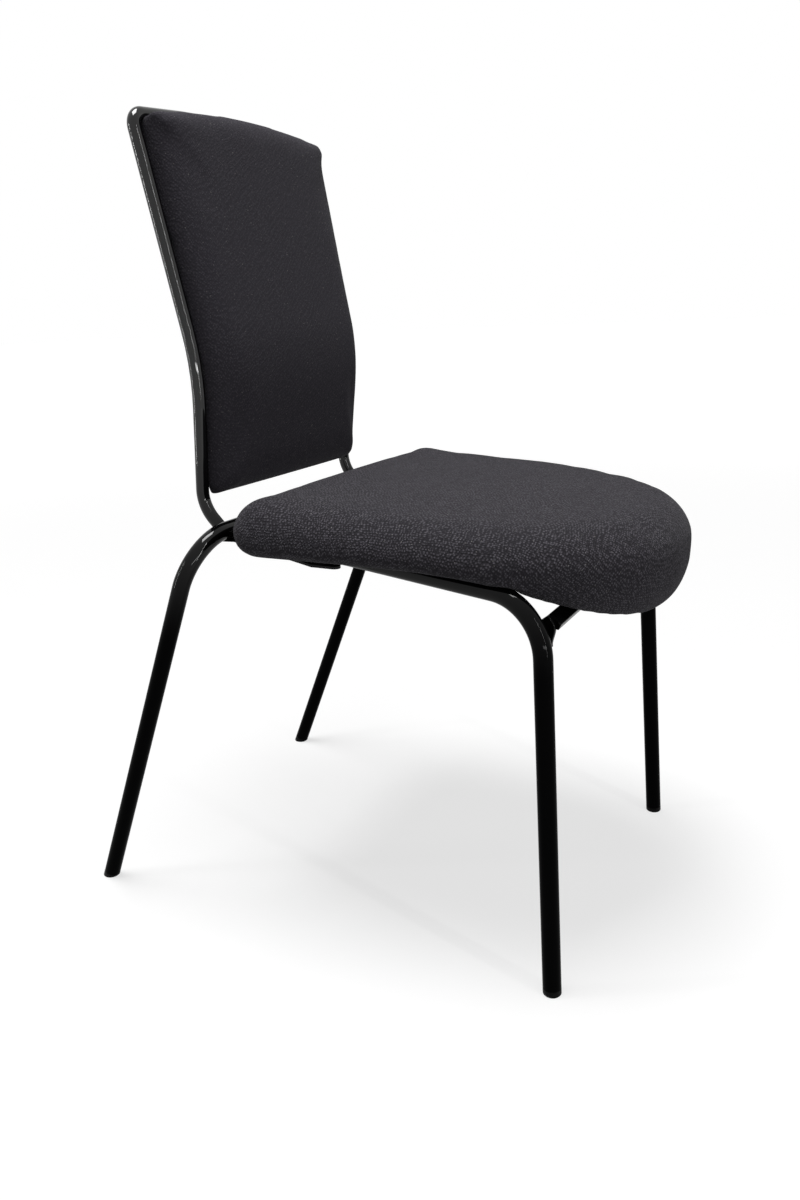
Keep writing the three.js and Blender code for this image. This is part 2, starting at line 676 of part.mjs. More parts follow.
// A cheek that follows the bend, in Y and Z from the bend's centre, with rounded corners
function gussetOutline() {
  const outer = frontBend.radius + legTube.od / 2 + gusset.reach;
  const inner = frontBend.radius + gusset.inner;
  const round = (outer - inner) / 2;
  const middle = (outer + inner) / 2;
  const from = gusset.fromAngle * degree;
  const to = gusset.toAngle * degree;
  const outline = new THREE.Shape();
  outline.absarc(0, 0, outer, from, to);
  outline.absarc(middle * Math.cos(to), middle * Math.sin(to), round, to, to + Math.PI);
  outline.absarc(0, 0, inner, to, from, true);
  outline.absarc(middle * Math.cos(from), middle * Math.sin(from), round, from + Math.PI, from + 2 * Math.PI);
  return outline;
}

// A strap runs from under each rail to under the rear crossbar
function makeStraps() {
  const half = strap.width / 2;
  const along = Math.atan2(strap.rearX - strap.frontX, strap.rearY - strap.frontY);
  const length = Math.hypot(strap.rearX - strap.frontX, strap.rearY - strap.frontY);
  const plan = new THREE.Shape();
  plan.absarc(0, half, half, Math.PI, 2 * Math.PI).absarc(0, length - half, half, 0, Math.PI);
  plan.holes.push(new THREE.Path().absarc(0, half, strap.hole / 2, 0, 2 * Math.PI));
  const frontZ = (y) => railZ(y) - legTube.od / 2 - clearance;
  const barZ = rearBend.z - legTube.od / 2 - clearance;
  const tops = [
    [strap.rearY + overrun, barZ], [rearBend.y - legTube.od / 2, barZ],
    [strap.kneeY, frontZ(strap.kneeY)], [strap.frontY - overrun, frontZ(strap.frontY - overrun)],
  ];
  const lows = tops.map(([y, z]) => [y, z - strap.thickness]).reverse();
  const slab = toSolid(sideExtrusion([...tops, ...lows], seat.halfWidth));
  for (const [name, side] of sides) {
    const stadium = new THREE.ExtrudeGeometry(plan, { depth: upright.topZ, bevelEnabled: false, curveSegments: 8 })
      .rotateZ(-side * along).translate(side * strap.frontX, strap.frontY, 0);
    const room = toSolid(sweepTube(frontLine(side), legTube, clearance));
    addPiece(`seat_strap_${name}`, toGeometry(slab.intersect(toSolid(stadium)).subtract(room)), paint);
  }
}

function makeSeat() {
  const room = frameRoom.map(toSolid);
  const dustInset = Math.max(seatBoard.inset, seat.frontInset + cloth.turn) + cloth.hem + cloth.ease;
  const underRoom = panel(null, seatBoard.thickness + clearance, seatBoard.inset - clearance);
  let board = panel(0, seatBoard.thickness, seatBoard.inset);
  let dust = panel(clearance - underStack, -clearance, dustInset);
  let filling = toSolid(bodyOf(pillowRings(seatPillow, cloth.thickness + cloth.ease, false)));
  let cover = toSolid(shellOf(
    pillowRings(seatPillow, 0, true), pillowRings(seatPillow, cloth.thickness, true),
  ));
  filling = filling.subtract(underRoom);
  for (const { name, matrix } of seatFixings) {
    const nutZ = seatStack.boardTop + clearance;
    const tip = nutZ + tNut.flangeHeight;
    fixing(name, matrix, seatScrew, seatStack.head, tip - seatStack.head, nutZ);
    const hole = placed(upwardCylinder(barrelRoom(seatScrew), 0, tip, divisions.screw), matrix);
    const flangeRoom = upwardCylinder(tNut.flange / 2 + clearance, 0, tip + clearance, divisions.screw);
    board = board.subtract(hole);
    dust = dust.subtract(hole);
    cover = cover.subtract(hole);
    filling = filling.subtract(placed(flangeRoom, matrix));
  }
  for (const tube of room) {
    board = board.subtract(tube);
    filling = filling.subtract(tube);
    cover = cover.subtract(tube);
    dust = dust.subtract(tube);
  }
  addPiece('seat_board', toGeometry(board), plywood);
  addPiece('seat_foam', toGeometry(filling), foam);
  addPiece('seat_cover', toGeometry(cover), fabric);
  addPiece('seat_dust_cover', toGeometry(dust), felt);
}

// The back cushion's spine: the frame's own line, without the knee at its foot
const spine = (() => {
  const low = back.bottomZ - backTube.od;
  const lean = (upright.lumbarY - upright.kneeY) / (upright.lumbarZ - upright.kneeZ);
  const recline = (upright.topY - upright.lumbarY) / (upright.topZ - upright.lumbarZ);
  const high = upright.topZ + backTube.od;
  return new BentLine([
    corner(0, upright.lumbarY + lean * (low - upright.lumbarZ), low),
    corner(0, upright.lumbarY, upright.lumbarZ, upright.lumbarRadius),
    corner(0, upright.lumbarY + recline * (high - upright.lumbarZ), high),
  ], divisions.softBend).stations.map(({ point, tangent }) => ({
    point, forward: vector(0, -tangent.z, tangent.y),
  }));
})();

// A place on the back: across, up the spine to a height, and forwards of it by a depth
function onBack(x, z, depth) {
  const above = spine.findIndex(({ point }) => point.z > z);
  const index = above < 0 ? spine.length - 2 : Math.max(above - 1, 0);
  const [low, high] = [spine[index], spine[index + 1]];
  const share = (z - low.point.z) / (high.point.z - low.point.z);
  const start = low.point.clone().addScaledVector(low.forward, depth);
  const end = high.point.clone().addScaledVector(high.forward, depth);
  return start.lerp(end, share).add(vector(x, 0, 0));
}

const backHalfWidth = (z) => uprightX(z) - backTube.od / 2 - back.tubeGap;

// Like the seat's, but a bottom corner moves inwards as a whole, so its arc keeps its radius
function backOutline() {
  const corners = [];
  const levels = spine.slice(1, -1).map(({ point }) => point.z);
  for (const side of [-1, 1]) {
    const rise = [
      corner(side * backHalfWidth(back.bottomZ), back.bottomZ, 0, back.bottomCorner),
      ...levels.map((z) => corner(side * backHalfWidth(z), z, 0)),
      corner(side * backHalfWidth(back.topZ), back.topZ, 0, back.topCorner),
    ];
    corners.push(...(side < 0 ? rise : rise.reverse()));
    if (side < 0) corners.push(corner(0, back.topZ + back.crown, 0, upright.crownRadius));
  }
  const middle = corner(0, back.bottomZ, 0);
  const cornerTop = (back.bottomZ + back.bottomCorner + levels[0]) / 2;
  return new BentLine([middle, ...corners, middle], divisions.corner).stations.slice(0, -1)
    .map(({ point, tangent }) => {
      const slides = point.y < cornerTop && point.x !== 0;
      return {
        a: point.x, b: point.y,
        na: slides ? Math.sign(point.x) : -tangent.y, nb: slides ? -1 : tangent.x,
      };
    });
}

// Depths of the layers, from the tabs behind the cushion forwards to the board's face
const backStack = (() => {
  const tabFront = backTab.thickness - backTube.od / 2;
  const coverRear = tabFront + clearance;
  const hemRear = coverRear + cloth.thickness + clearance;
  const boardRear = hemRear + cloth.thickness + clearance;
  return { tabFront, coverRear, hemRear, boardRear, boardFront: boardRear + backBoard.thickness };
})();

const backRearInset = (p) => byNormal(p, back.rearInset, back.rearInset, back.topRearInset);
const backBoardInset = (p) => byNormal(p, backBoard.inset, backBoard.inset, backBoard.topInset);

const backPillow = {
  outline: backOutline(),
  middle: (back.bottomZ + back.topZ) / 2,
  lowerInset: backRearInset,
  upperInset: (p) => byNormal(p, back.sideInset, back.sideInset, back.topInset),
  hemInset: (p) => Math.max(backBoardInset(p) - cloth.ease, backRearInset(p) + cloth.turn),
  power: () => back.power,
  hem: (x, z, shrink) => backStack.hemRear + shrink,
  waist: (x, z, p) => byNormal(p, back.waistDepth, back.waistDepth, back.topWaistDepth),
  lower: (x, z, p, shrink) => backStack.hemRear + shrink,
  upper: (x, z, shrink) => {
    const across = x / backHalfWidth(z);
    return back.frontDepth + back.frontCrown * (1 - across ** 2) - shrink;
  },
  floor: () => -back.frontDepth,
  place: onBack,
};

// A sheet that follows the spine between two depths, inside an inset plan of the board
function backPanel(low, high, insetOf) {
  const line = (depth) => spine.map(({ point, forward }) => {
    const at = point.clone().addScaledVector(forward, depth);
    return [at.y, at.z];
  });
  const slab = toSolid(sideExtrusion([...line(high), ...line(low).reverse()], upright.topX));
  const plan = backPillow.outline.map((p) => {
    const at = onBack(p.a - p.na * insetOf(p), p.b - p.nb * insetOf(p), backStack.boardFront / 2);
    return [at.x, at.z];
  });
  const prism = planExtrusion(plan.reverse(), -upright.topZ, upright.topZ).rotateX(Math.PI / 2);
  return slab.intersect(toSolid(prism));
}

// Each back screw stands square to the spine, a little inside its upright
const backFixings = sides.flatMap(([name, side]) => [
  ['lower', backTab.lowZ], ['upper', backTab.highZ],
].map(([place, z]) => {
  const foot = onBack(side * (uprightX(z) - backTube.od / 2 - backTab.reach), z, 0);
  const forward = onBack(foot.x, z, 1).sub(foot);
  const matrix = new THREE.Matrix4()
    .makeBasis(vector(1, 0, 0), vector().crossVectors(forward, vector(1, 0, 0)), forward)
    .setPosition(foot);
  return { name: `back_${place}_${name}`, matrix, side };
}));

function makeBack() {
  const room = toSolid(sweepTube(backLine, backTube, 2 * clearance));
  const touch = toSolid(sweepTube(backLine, backTube, clearance));
  const { tabFront, coverRear, hemRear, boardRear, boardFront } = backStack;
  let board = backPanel(boardRear, boardFront, backBoardInset);
  let rearCover = backPanel(coverRear, hemRear - clearance, (p) => backRearInset(p) + cloth.turn);
  const boardRoom = backPanel(-back.frontDepth, boardFront + clearance, (p) => backBoardInset(p) - clearance);
  let filling = toSolid(bodyOf(pillowRings(backPillow, cloth.thickness + cloth.ease, false)));
  let cover = toSolid(shellOf(
    pillowRings(backPillow, 0, true), pillowRings(backPillow, cloth.thickness, true),
  ));
  filling = filling.subtract(boardRoom).subtract(room);
  cover = cover.subtract(room);
  for (const { name, matrix, side } of backFixings) {
    const nutZ = boardFront + clearance;
    const tip = nutZ + tNut.flangeHeight;
    const seatZ = -backTube.od / 2 - clearance;
    fixing(name, matrix, backScrew, seatZ, tip - seatZ, nutZ);
    const hole = placed(upwardCylinder(barrelRoom(backScrew), -backTube.od, tip, divisions.screw), matrix);
    const flangeRoom = upwardCylinder(tNut.flange / 2 + clearance, -backTube.od, tip + clearance, divisions.screw);
    board = board.subtract(hole);
    rearCover = rearCover.subtract(hole);
    cover = cover.subtract(hole);
    filling = filling.subtract(placed(flangeRoom, matrix));
    const inner = -side * backTab.past;
    const outer = side * (backTab.reach + backTube.od / 2 - backTab.underTube);
    const plate = new THREE.BoxGeometry(Math.abs(outer - inner), backTab.width, backTab.thickness)
      .translate((inner + outer) / 2, 0, tabFront - backTab.thickness / 2);
    const bore = upwardCylinder(backScrew.shank / 2 + clearance, -backTube.od, 0, divisions.screw);
    const tab = placed(cut(plate, bore), matrix).subtract(touch);
    addPiece(`${name}_tab`, toGeometry(tab), paint);
  }
  addPiece('back_board', toGeometry(board), plywood);
  addPiece('back_foam', toGeometry(filling), foam);
  addPiece('back_cover', toGeometry(cover), fabric);
  addPiece('back_rear_cover', toGeometry(rearCover), fabric);
}

makeFrames();
makeGlides();
makeCrossbar();
makeStraps();
makeSeat();
makeBack();

// The origin moves to the middle of the chair's length on the floor
const bounds = new THREE.Box3().setFromObject(chair);
chair.position.y = -(bounds.min.y + bounds.max.y) / 2;

export default chair;
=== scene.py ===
# %% [markdown]
# A choir chair: a bent tube frame in gloss black paint, with a padded seat and a padded back in
# dark crepe cloth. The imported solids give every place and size. Here the tubes are bent again as
# smooth pipes, the welds are laid, the cushions are stuffed by a short cloth simulation, and each
# finish is built from shader nodes. Lengths in the tables are millimetres; meshes are in metres.

# %% Load the solids
import json
import math
import random

import bpy
from mathutils import Matrix, Vector


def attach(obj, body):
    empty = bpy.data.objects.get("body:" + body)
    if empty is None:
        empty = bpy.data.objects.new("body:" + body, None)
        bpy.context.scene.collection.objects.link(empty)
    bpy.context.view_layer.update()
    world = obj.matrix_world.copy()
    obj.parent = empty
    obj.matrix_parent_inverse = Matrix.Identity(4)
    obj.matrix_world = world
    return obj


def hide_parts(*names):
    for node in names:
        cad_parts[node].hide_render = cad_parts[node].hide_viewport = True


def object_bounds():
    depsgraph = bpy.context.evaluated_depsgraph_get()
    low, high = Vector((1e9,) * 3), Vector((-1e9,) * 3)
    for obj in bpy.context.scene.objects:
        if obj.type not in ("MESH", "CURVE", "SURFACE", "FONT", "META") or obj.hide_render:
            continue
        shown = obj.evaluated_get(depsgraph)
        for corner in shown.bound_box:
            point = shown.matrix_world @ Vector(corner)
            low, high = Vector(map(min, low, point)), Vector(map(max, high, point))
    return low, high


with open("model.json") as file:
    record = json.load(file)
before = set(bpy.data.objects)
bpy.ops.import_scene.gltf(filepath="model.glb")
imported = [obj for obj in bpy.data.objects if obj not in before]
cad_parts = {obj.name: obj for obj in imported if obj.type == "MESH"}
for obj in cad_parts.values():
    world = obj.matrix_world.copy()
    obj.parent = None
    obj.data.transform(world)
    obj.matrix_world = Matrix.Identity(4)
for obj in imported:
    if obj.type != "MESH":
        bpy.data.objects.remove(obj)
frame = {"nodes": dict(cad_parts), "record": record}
cad_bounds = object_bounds()
mm = 0.001
cad_box = [round(v, 4) for corner in cad_bounds for v in corner]
print("solids:", len(frame["nodes"]), "box:", cad_box)

# %% [markdown]
# The camera comes first, because every shape is judged through it. It could be placed by eye, but
# small errors of aim then look like errors of shape. So the lens and the place were fitted
# together to the feet, the legs and the rails as measured in the photograph. The chair is centred
# on its length, so places measured from the middle of the feet move along Y by one fixed amount.

# %% Camera
middle_y = 31.2458
photo_height = 1200
focal_pixels = 998.42
sensor_width = 36


def chair_point(x, y, z):
    """A place in the drawing, moved to the centred chair, in metres."""
    return Vector((x, y + middle_y, z)) * mm


def aim_camera(place, azimuth, pitch, roll, lens):
    """Stand a camera: azimuth turns it from +Y, pitch looks down, and roll tilts its head."""
    turn = (
        Matrix.Rotation(azimuth, 4, "Z")
        @ Matrix.Rotation(math.pi / 2 - pitch, 4, "X")
        @ Matrix.Rotation(roll, 4, "Z")
    )
    data = bpy.data.cameras.new("photo_camera")
    data.lens = lens
    data.sensor_width = sensor_width
    camera = bpy.data.objects.new("photo_camera", data)
    bpy.context.collection.objects.link(camera)
    camera.matrix_world = Matrix.Translation(place) @ turn
    bpy.context.scene.camera = camera
    return camera


camera = aim_camera(
    chair_point(-1075.56, -597.74, 701.28),
    azimuth=math.radians(-61.864),
    pitch=math.radians(16.266),
    roll=math.radians(-2.485),
    lens=focal_pixels / photo_height * sensor_width,
)
print("camera looks along", [round(v, 3) for v in camera.matrix_world.col[2].xyz * -1])

# %% [markdown]
# The studio is one floor in plain white surroundings. A large panel overhead gives the plain
# light. Gloss black paint shows little but what it mirrors, so three long, narrow panels draw the
# thin bright streaks along the tubes. A pale floor could be had from brighter lamps, but they
# would wash out the black. So the floor adds its white only for the camera and for mirrored rays,
# which leaves the light on the chair alone and keeps its shadow.

# %% Studio


def new_material(name):
    material = bpy.data.materials.new(name)
    material.use_nodes = True
    return material


def seen_directly(tree):
    """One for rays from the camera, from gloss and through glass, and nothing for the rest."""
    path = tree.nodes.new("ShaderNodeLightPath")
    total = path.outputs["Is Camera Ray"]
    for name in ("Is Glossy Ray", "Is Transmission Ray"):
        either = tree.nodes.new("ShaderNodeMath")
        either.operation = "MAXIMUM"
        tree.links.new(total, either.inputs[0])
        tree.links.new(path.outputs[name], either.inputs[1])
        total = either.outputs[0]
    return total


def floor_material(base, near_glow, far_glow):
    """A matt floor. Its glow grows away from the chair, where the lamps no longer reach."""
    material = new_material("studio_floor")
    tree = material.node_tree
    shader = tree.nodes["Principled BSDF"]
    shader.inputs["Base Color"].default_value = (base, base, base, 1)
    shader.inputs["Roughness"].default_value = 0.9
    shader.inputs["Specular IOR Level"].default_value = 0.1
    place = tree.nodes.new("ShaderNodeTexCoord")
    distance = tree.nodes.new("ShaderNodeVectorMath")
    distance.operation = "LENGTH"
    tree.links.new(place.outputs["Object"], distance.inputs[0])
    glow = tree.nodes.new("ShaderNodeMapRange")
    spread = {"From Min": 0.7, "From Max": 4.5, "To Min": near_glow, "To Max": far_glow}
    for socket, value in spread.items():
        glow.inputs[socket].default_value = value
    tree.links.new(distance.outputs["Value"], glow.inputs["Value"])
    light = tree.nodes.new("ShaderNodeEmission")
    tree.links.new(glow.outputs[0], light.inputs["Color"])
    both = tree.nodes.new("ShaderNodeAddShader")
    choose = tree.nodes.new("ShaderNodeMixShader")
    output = tree.nodes["Material Output"]
    tree.links.new(shader.outputs[0], both.inputs[0])
    tree.links.new(light.outputs[0], both.inputs[1])
    tree.links.new(seen_directly(tree), choose.inputs[0])
    tree.links.new(shader.outputs[0], choose.inputs[1])
    tree.links.new(both.outputs[0], choose.inputs[2])
    tree.links.new(choose.outputs[0], output.inputs["Surface"])
    return material


def studio_world(ambient, background):
    """A faint even light, which the camera and the gloss see as plain white."""
    world = bpy.data.worlds.new("studio")
    world.use_nodes = True
    bpy.context.scene.world = world
    tree = world.node_tree
    plain = tree.nodes["Background"]
    plain.inputs["Color"].default_value = (1, 1, 1, 1)
    plain.inputs["Strength"].default_value = ambient
    white = tree.nodes.new("ShaderNodeBackground")
    white.inputs["Color"].default_value = (1, 1, 1, 1)
    white.inputs["Strength"].default_value = background
    choose = tree.nodes.new("ShaderNodeMixShader")
    tree.links.new(seen_directly(tree), choose.inputs[0])
    tree.links.new(plain.outputs[0], choose.inputs[1])
    tree.links.new(white.outputs[0], choose.inputs[2])
    tree.links.new(choose.outputs[0], tree.nodes["World Output"].inputs["Surface"])


def panel_lamp(name, at, aim, size, watts):
    """A flat panel at a place in metres, turned to face another."""
    data = bpy.data.lights.new(name, "AREA")
    data.shape = "RECTANGLE"
    data.size, data.size_y = size
    data.energy = watts
    lamp = bpy.data.objects.new(name, data)
    lamp.location = at
    lamp.rotation_euler = (Vector(aim) - Vector(at)).to_track_quat("-Z", "Y").to_euler()
    bpy.context.collection.objects.link(lamp)
    print(name, "watts:", watts)


bpy.ops.object.select_all(action="DESELECT")
bpy.ops.mesh.primitive_plane_add(size=60)
floor = bpy.context.active_object
floor.name = "studio_floor"
floor.data.materials.append(floor_material(base=0.265, near_glow=0.69, far_glow=0.97))
studio_world(ambient=0.03, background=1.0)
panel_lamp("overhead_panel", at=(-0.2, 0.1, 3.4), aim=(0, 0, 0.4), size=(1.4, 1.4), watts=134)
panel_lamp("front_panel", at=(-1.3, -2.1, 0.6), aim=(0, 0, 0.5), size=(1.5, 0.14), watts=10)
panel_lamp("rear_strip", at=(-1.4, 1.9, 0.9), aim=(0, 0, 0.6), size=(0.04, 1.5), watts=14)
panel_lamp("front_strip", at=(-0.75, -1.95, 1.1), aim=(0, 0, 0.7), size=(0.03, 2.0), watts=13)
bpy.context.scene.view_settings.view_transform = "Standard"

# %% [markdown]
# Shader sums could be wired node by node, but they are easier to read as arithmetic. A small
# class wraps a node's output, and an expression such as 1 - mask adds the Math nodes for it. Any
# other node comes from one method that sets it up.

# %% Shader helpers


class Value:
    """A number that changes over a surface, from one node's output."""

    def __init__(self, finish, socket):
        self.finish = finish
        self.socket = socket

    def combine(self, operation, first, second):
        return self.finish.node("ShaderNodeMath", {"operation": operation}, {0: first, 1: second})

    def __add__(self, other):
        return self.combine("ADD", self, other)

    def __sub__(self, other):
        return self.combine("SUBTRACT", self, other)

    def __mul__(self, other):
        return self.combine("MULTIPLY", self, other)

    def __rsub__(self, other):
        return self.combine("SUBTRACT", other, self)

    __radd__ = __add__
    __rmul__ = __mul__


class Finish:
    """A material in the making, for one of the chair's surfaces."""

    def __init__(self, name, **fixed):
        self.material = new_material(name)
        self.tree = self.material.node_tree
        self.shader = self.tree.nodes["Principled BSDF"]
        self.place = self.node("ShaderNodeTexCoord", output="Object")
        self.done(**fixed)

    def feed(self, socket, value):
        if isinstance(value, Value):
            self.tree.links.new(value.socket, socket)
        elif isinstance(value, tuple) and socket.type == "RGBA":
            socket.default_value = (*value, 1)
        else:
            socket.default_value = value

    def node(self, kind, settings=None, inputs=None, output=0):
        node = self.tree.nodes.new(kind)
        for key, value in (settings or {}).items():
            setattr(node, key, value)
        for key, value in (inputs or {}).items():
            self.feed(node.inputs[key], value)
        return Value(self, node.outputs[output])

    def mapped(self, **changes):
        """The piece's own coordinates, turned or scaled, in which a pattern is drawn."""
        return self.node("ShaderNodeMapping", inputs={"Vector": self.place, **changes})

    def noise(self, scale, detail=2.0, where=None):
        """Cloudy noise, with a number of lumps for each metre."""
        inputs = {"Vector": where or self.place, "Scale": scale, "Detail": detail}
        return self.node("ShaderNodeTexNoise", inputs=inputs)

    def between(self, value, low, high):
        """Zero below low, one above high, and a smooth step between them."""
        return self.node(
            "ShaderNodeMapRange",
            {"interpolation_type": "SMOOTHSTEP"},
            {"Value": value, "From Min": low, "From Max": high},
        )

    def blend(self, factor, first, second):
        """A colour that goes from the first to the second as the factor rises."""
        inputs = {"Factor": factor, 6: first, 7: second}
        return self.node("ShaderNodeMix", {"data_type": "RGBA"}, inputs, output=2)

    def bump(self, height, depth, strength=1.0):
        """Relief as deep as the depth, in metres, where the height goes from zero to one."""
        inputs = {"Height": height, "Distance": depth, "Strength": strength}
        return self.node("ShaderNodeBump", inputs=inputs)

    def done(self, **values):
        for socket, value in values.items():
            self.feed(self.shader.inputs[socket.replace("_", " ")], value)
        return self.material


# %% [markdown]
# Stoved gloss paint on steel is nearly black and mirror smooth, with a faint ripple like the skin
# of an orange, and it holds a little dust. One glossy shader could do it, but a clear coat over a
# dark base gives sharper streaks. The coat fades below the seat, where the legs of the real chair
# show hardly any reflection. Slow noise in the roughness keeps the streaks from looking drawn.

# %% Frame paint
coat_starts, coat_full = 0.34, 0.58


def make_frame_paint():
    paint = Finish("frame_paint", Specular_IOR_Level=0.012, Coat_Roughness=0.04)
    height = paint.node("ShaderNodeSeparateXYZ", inputs={"Vector": paint.place}, output="Z")
    smudge = paint.noise(22, 4)
    ripple = paint.noise(420, 1)
    dust = paint.between(paint.noise(900, 2), 0.66, 0.8)
    black, grey = (0.0012, 0.0012, 0.0013), (0.03, 0.029, 0.027)
    return paint.done(
        Base_Color=paint.blend(dust * 0.25, black, grey),
        Roughness=0.05 + smudge * 0.1 + dust * 0.3,
        Coat_Weight=paint.between(height, coat_starts, coat_full) * 0.8,
        Normal=paint.bump(ripple, 0.00004, 0.4),
    )


# %% [markdown]
# The cover is a hard-wearing crepe: a matt cloth of twisted yarn whose surface is a fine, uneven
# pebble with faint ribs. A photograph of cloth could be laid on, but it would need seams, and a
# regular weave would shimmer when it is seen small. So soft Voronoi cells make the pebble, and two
# noises make the yarn and the ribs. The cells are drawn in tilted coordinates that wander a
# little, so that no row of them lies along a face. The pebble hardly shows on the back, and a few
# lint specks sit on both.

# %% Cushion cloth
pattern_tilt = (0.7, 0.5, 0.3)
pattern_wander = (0.012, 0.012, 0.012)


def make_crepe(name, rib_turn, pebble_shading, depth):
    """The cover's cloth. The painted pebble shading goes from plain cloth at zero to a clear
    pebble at one.
    """
    cloth = Finish(name, Sheen_Weight=0.03, Sheen_Roughness=0.5, Specular_IOR_Level=0.06)
    tilted = cloth.mapped(Rotation=pattern_tilt)
    drift = cloth.node("ShaderNodeTexNoise", inputs={"Vector": cloth.place, "Scale": 22}, output=1)
    wandering = {0: drift, 1: pattern_wander, 2: tilted}
    uneven = cloth.node("ShaderNodeVectorMath", {"operation": "MULTIPLY_ADD"}, wandering)
    cells = {"Vector": uneven, "Scale": 400, "Randomness": 0.5, "Smoothness": 0.2}
    pebble = 1 - cloth.node("ShaderNodeTexVoronoi", {"feature": "SMOOTH_F1"}, cells)
    yarn = cloth.noise(900, 3, tilted)
    ribs = cloth.noise(300, 1, cloth.mapped(Rotation=rib_turn, Scale=(1, 0.3, 1)))
    wear = cloth.noise(11, 3)
    lint = cloth.between(cloth.noise(520, 1, tilted), 0.73, 0.76)
    relief = pebble * 1.3 + yarn * 0.35 + ribs * 0.4
    plain, pale = (0.0262, 0.0242, 0.03), (0.22, 0.21, 0.2)
    # Painted light and shade: the colour follows the relief, darker in the pits between the
    # pebbles and lighter on their crests.
    pit_shade_colour, crest_light_colour = (0.0165, 0.0155, 0.018), (0.102, 0.0965, 0.1105)
    pebble_light_and_shade = cloth.blend(cloth.between(relief, 0.9, 1.75), pit_shade_colour, crest_light_colour)
    # How much of this painted pebble shading shows, a little less in worn patches.
    shade = cloth.blend(pebble_shading - wear * 0.3, plain, pebble_light_and_shade)
    return cloth.done(
        Base_Color=cloth.blend(lint * 0.5, shade, pale),
        Roughness=0.86 + yarn * 0.12,
        Normal=cloth.bump(relief, 0.0011, depth),
    )


# %% [markdown]
# The small pieces have plain finishes: moulded plastic glides with a fine grain, zinc plate on
# the screws, thin black felt under the seat, and the plywood of the boards. One noise each would
# do for a distant view. Here the noise also roughens or dents the surface, so that a close view
# still shows a material. The finishes then go on the solids that stay in view as they are.

# %% Small finishes


def make_glide_plastic():
    plastic = Finish("glide_plastic", Specular_IOR_Level=0.05)
    grain = plastic.noise(1400, 2)
    scuffs = plastic.between(plastic.noise(260, 4), 0.5, 0.72)
    return plastic.done(
        Base_Color=plastic.blend(scuffs, (0.0015, 0.0015, 0.0016), (0.006, 0.006, 0.006)),
        Roughness=0.42 + scuffs * 0.25,
        Normal=plastic.bump(grain, 0.0001, 0.5),
    )


def make_zinc():
    zinc = Finish("zinc_plate", Metallic=1.0)
    cloud = zinc.noise(340, 4)
    return zinc.done(
        Base_Color=zinc.blend(cloud, (0.42, 0.43, 0.45), (0.62, 0.62, 0.6)),
        Roughness=0.24 + cloud * 0.22,
        Normal=zinc.bump(cloud, 0.00005),
    )


def make_felt():
    felt = Finish("under_felt", Roughness=0.95, Specular_IOR_Level=0.15)
    fibre = felt.noise(900, 4, felt.mapped(Scale=(1, 0.35, 1)))
    colour = felt.blend(fibre, (0.006, 0.006, 0.006), (0.028, 0.028, 0.029))
    return felt.done(Base_Color=colour, Normal=felt.bump(fibre, 0.0005, 0.7))


def make_plywood():
    wood = Finish("board_plywood", Roughness=0.6)
    grain = wood.noise(60, 5, wood.mapped(Scale=(1, 12, 12)))
    colour = wood.blend(wood.between(grain, 0.3, 0.7), (0.32, 0.2, 0.1), (0.5, 0.34, 0.19))
    return wood.done(Base_Color=colour, Normal=wood.bump(grain, 0.0003, 0.4))


finishes = {
    "frame_paint": make_frame_paint(),
    "glide_plastic": make_glide_plastic(),
    "zinc_steel": make_zinc(),
    "plywood": make_plywood(),
    "dust_cloth": make_felt(),
}
seat_ribs = (0.25, 0.35, math.radians(20))
back_ribs = (math.radians(70), 0.3, 0)
# The seat gets the full painted pebble shading, the back less of it.
seat_cloth = make_crepe("seat_crepe", seat_ribs, pebble_shading=1, depth=0.8)
back_cloth = make_crepe("back_crepe", back_ribs, pebble_shading=0.4, depth=0.35)
slots = {row["node"]: row["material_slot"] for row in frame["record"]["subparts"]}
for name, node in frame["nodes"].items():
    if slots[name] in finishes:
        node.data.materials.clear()
        node.data.materials.append(finishes[slots[name]])
print("finishes on solids:", sum(slots[name] in finishes for name in frame["nodes"]))

# %% [markdown]
# A chair tube is bent cold on a former, so it is straight runs joined by true arcs. A curve with
# a bevel would be quicker, but its arcs are not true. So it is made as on the former: a circle is
# added at one end, extruded along each straight run, and spun round each bend's axis. Solidify
# then gives the wall, inwards, so that open ends show their thickness.

# %% Tube helpers


def make_active(piece):
    bpy.ops.object.select_all(action="DESELECT")
    piece.select_set(True)
    bpy.context.view_layer.objects.active = piece


def corner(x, y, z, radius=0):
    return {"point": chair_point(x, y, z), "radius": radius * mm}


def finish_mesh(piece, material, replaced=(), smooth=40):
    """Shade a made piece, give it its finish, and hide the solids that it stands for."""
    make_active(piece)
    bpy.ops.object.transform_apply(location=True, rotation=True, scale=True)
    bpy.ops.object.shade_smooth_by_angle(angle=math.radians(smooth))
    piece.data.materials.clear()
    piece.data.materials.append(material)
    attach(piece, "root")
    if replaced:
        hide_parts(*replaced)
    print(piece.name, "faces:", len(piece.data.polygons))


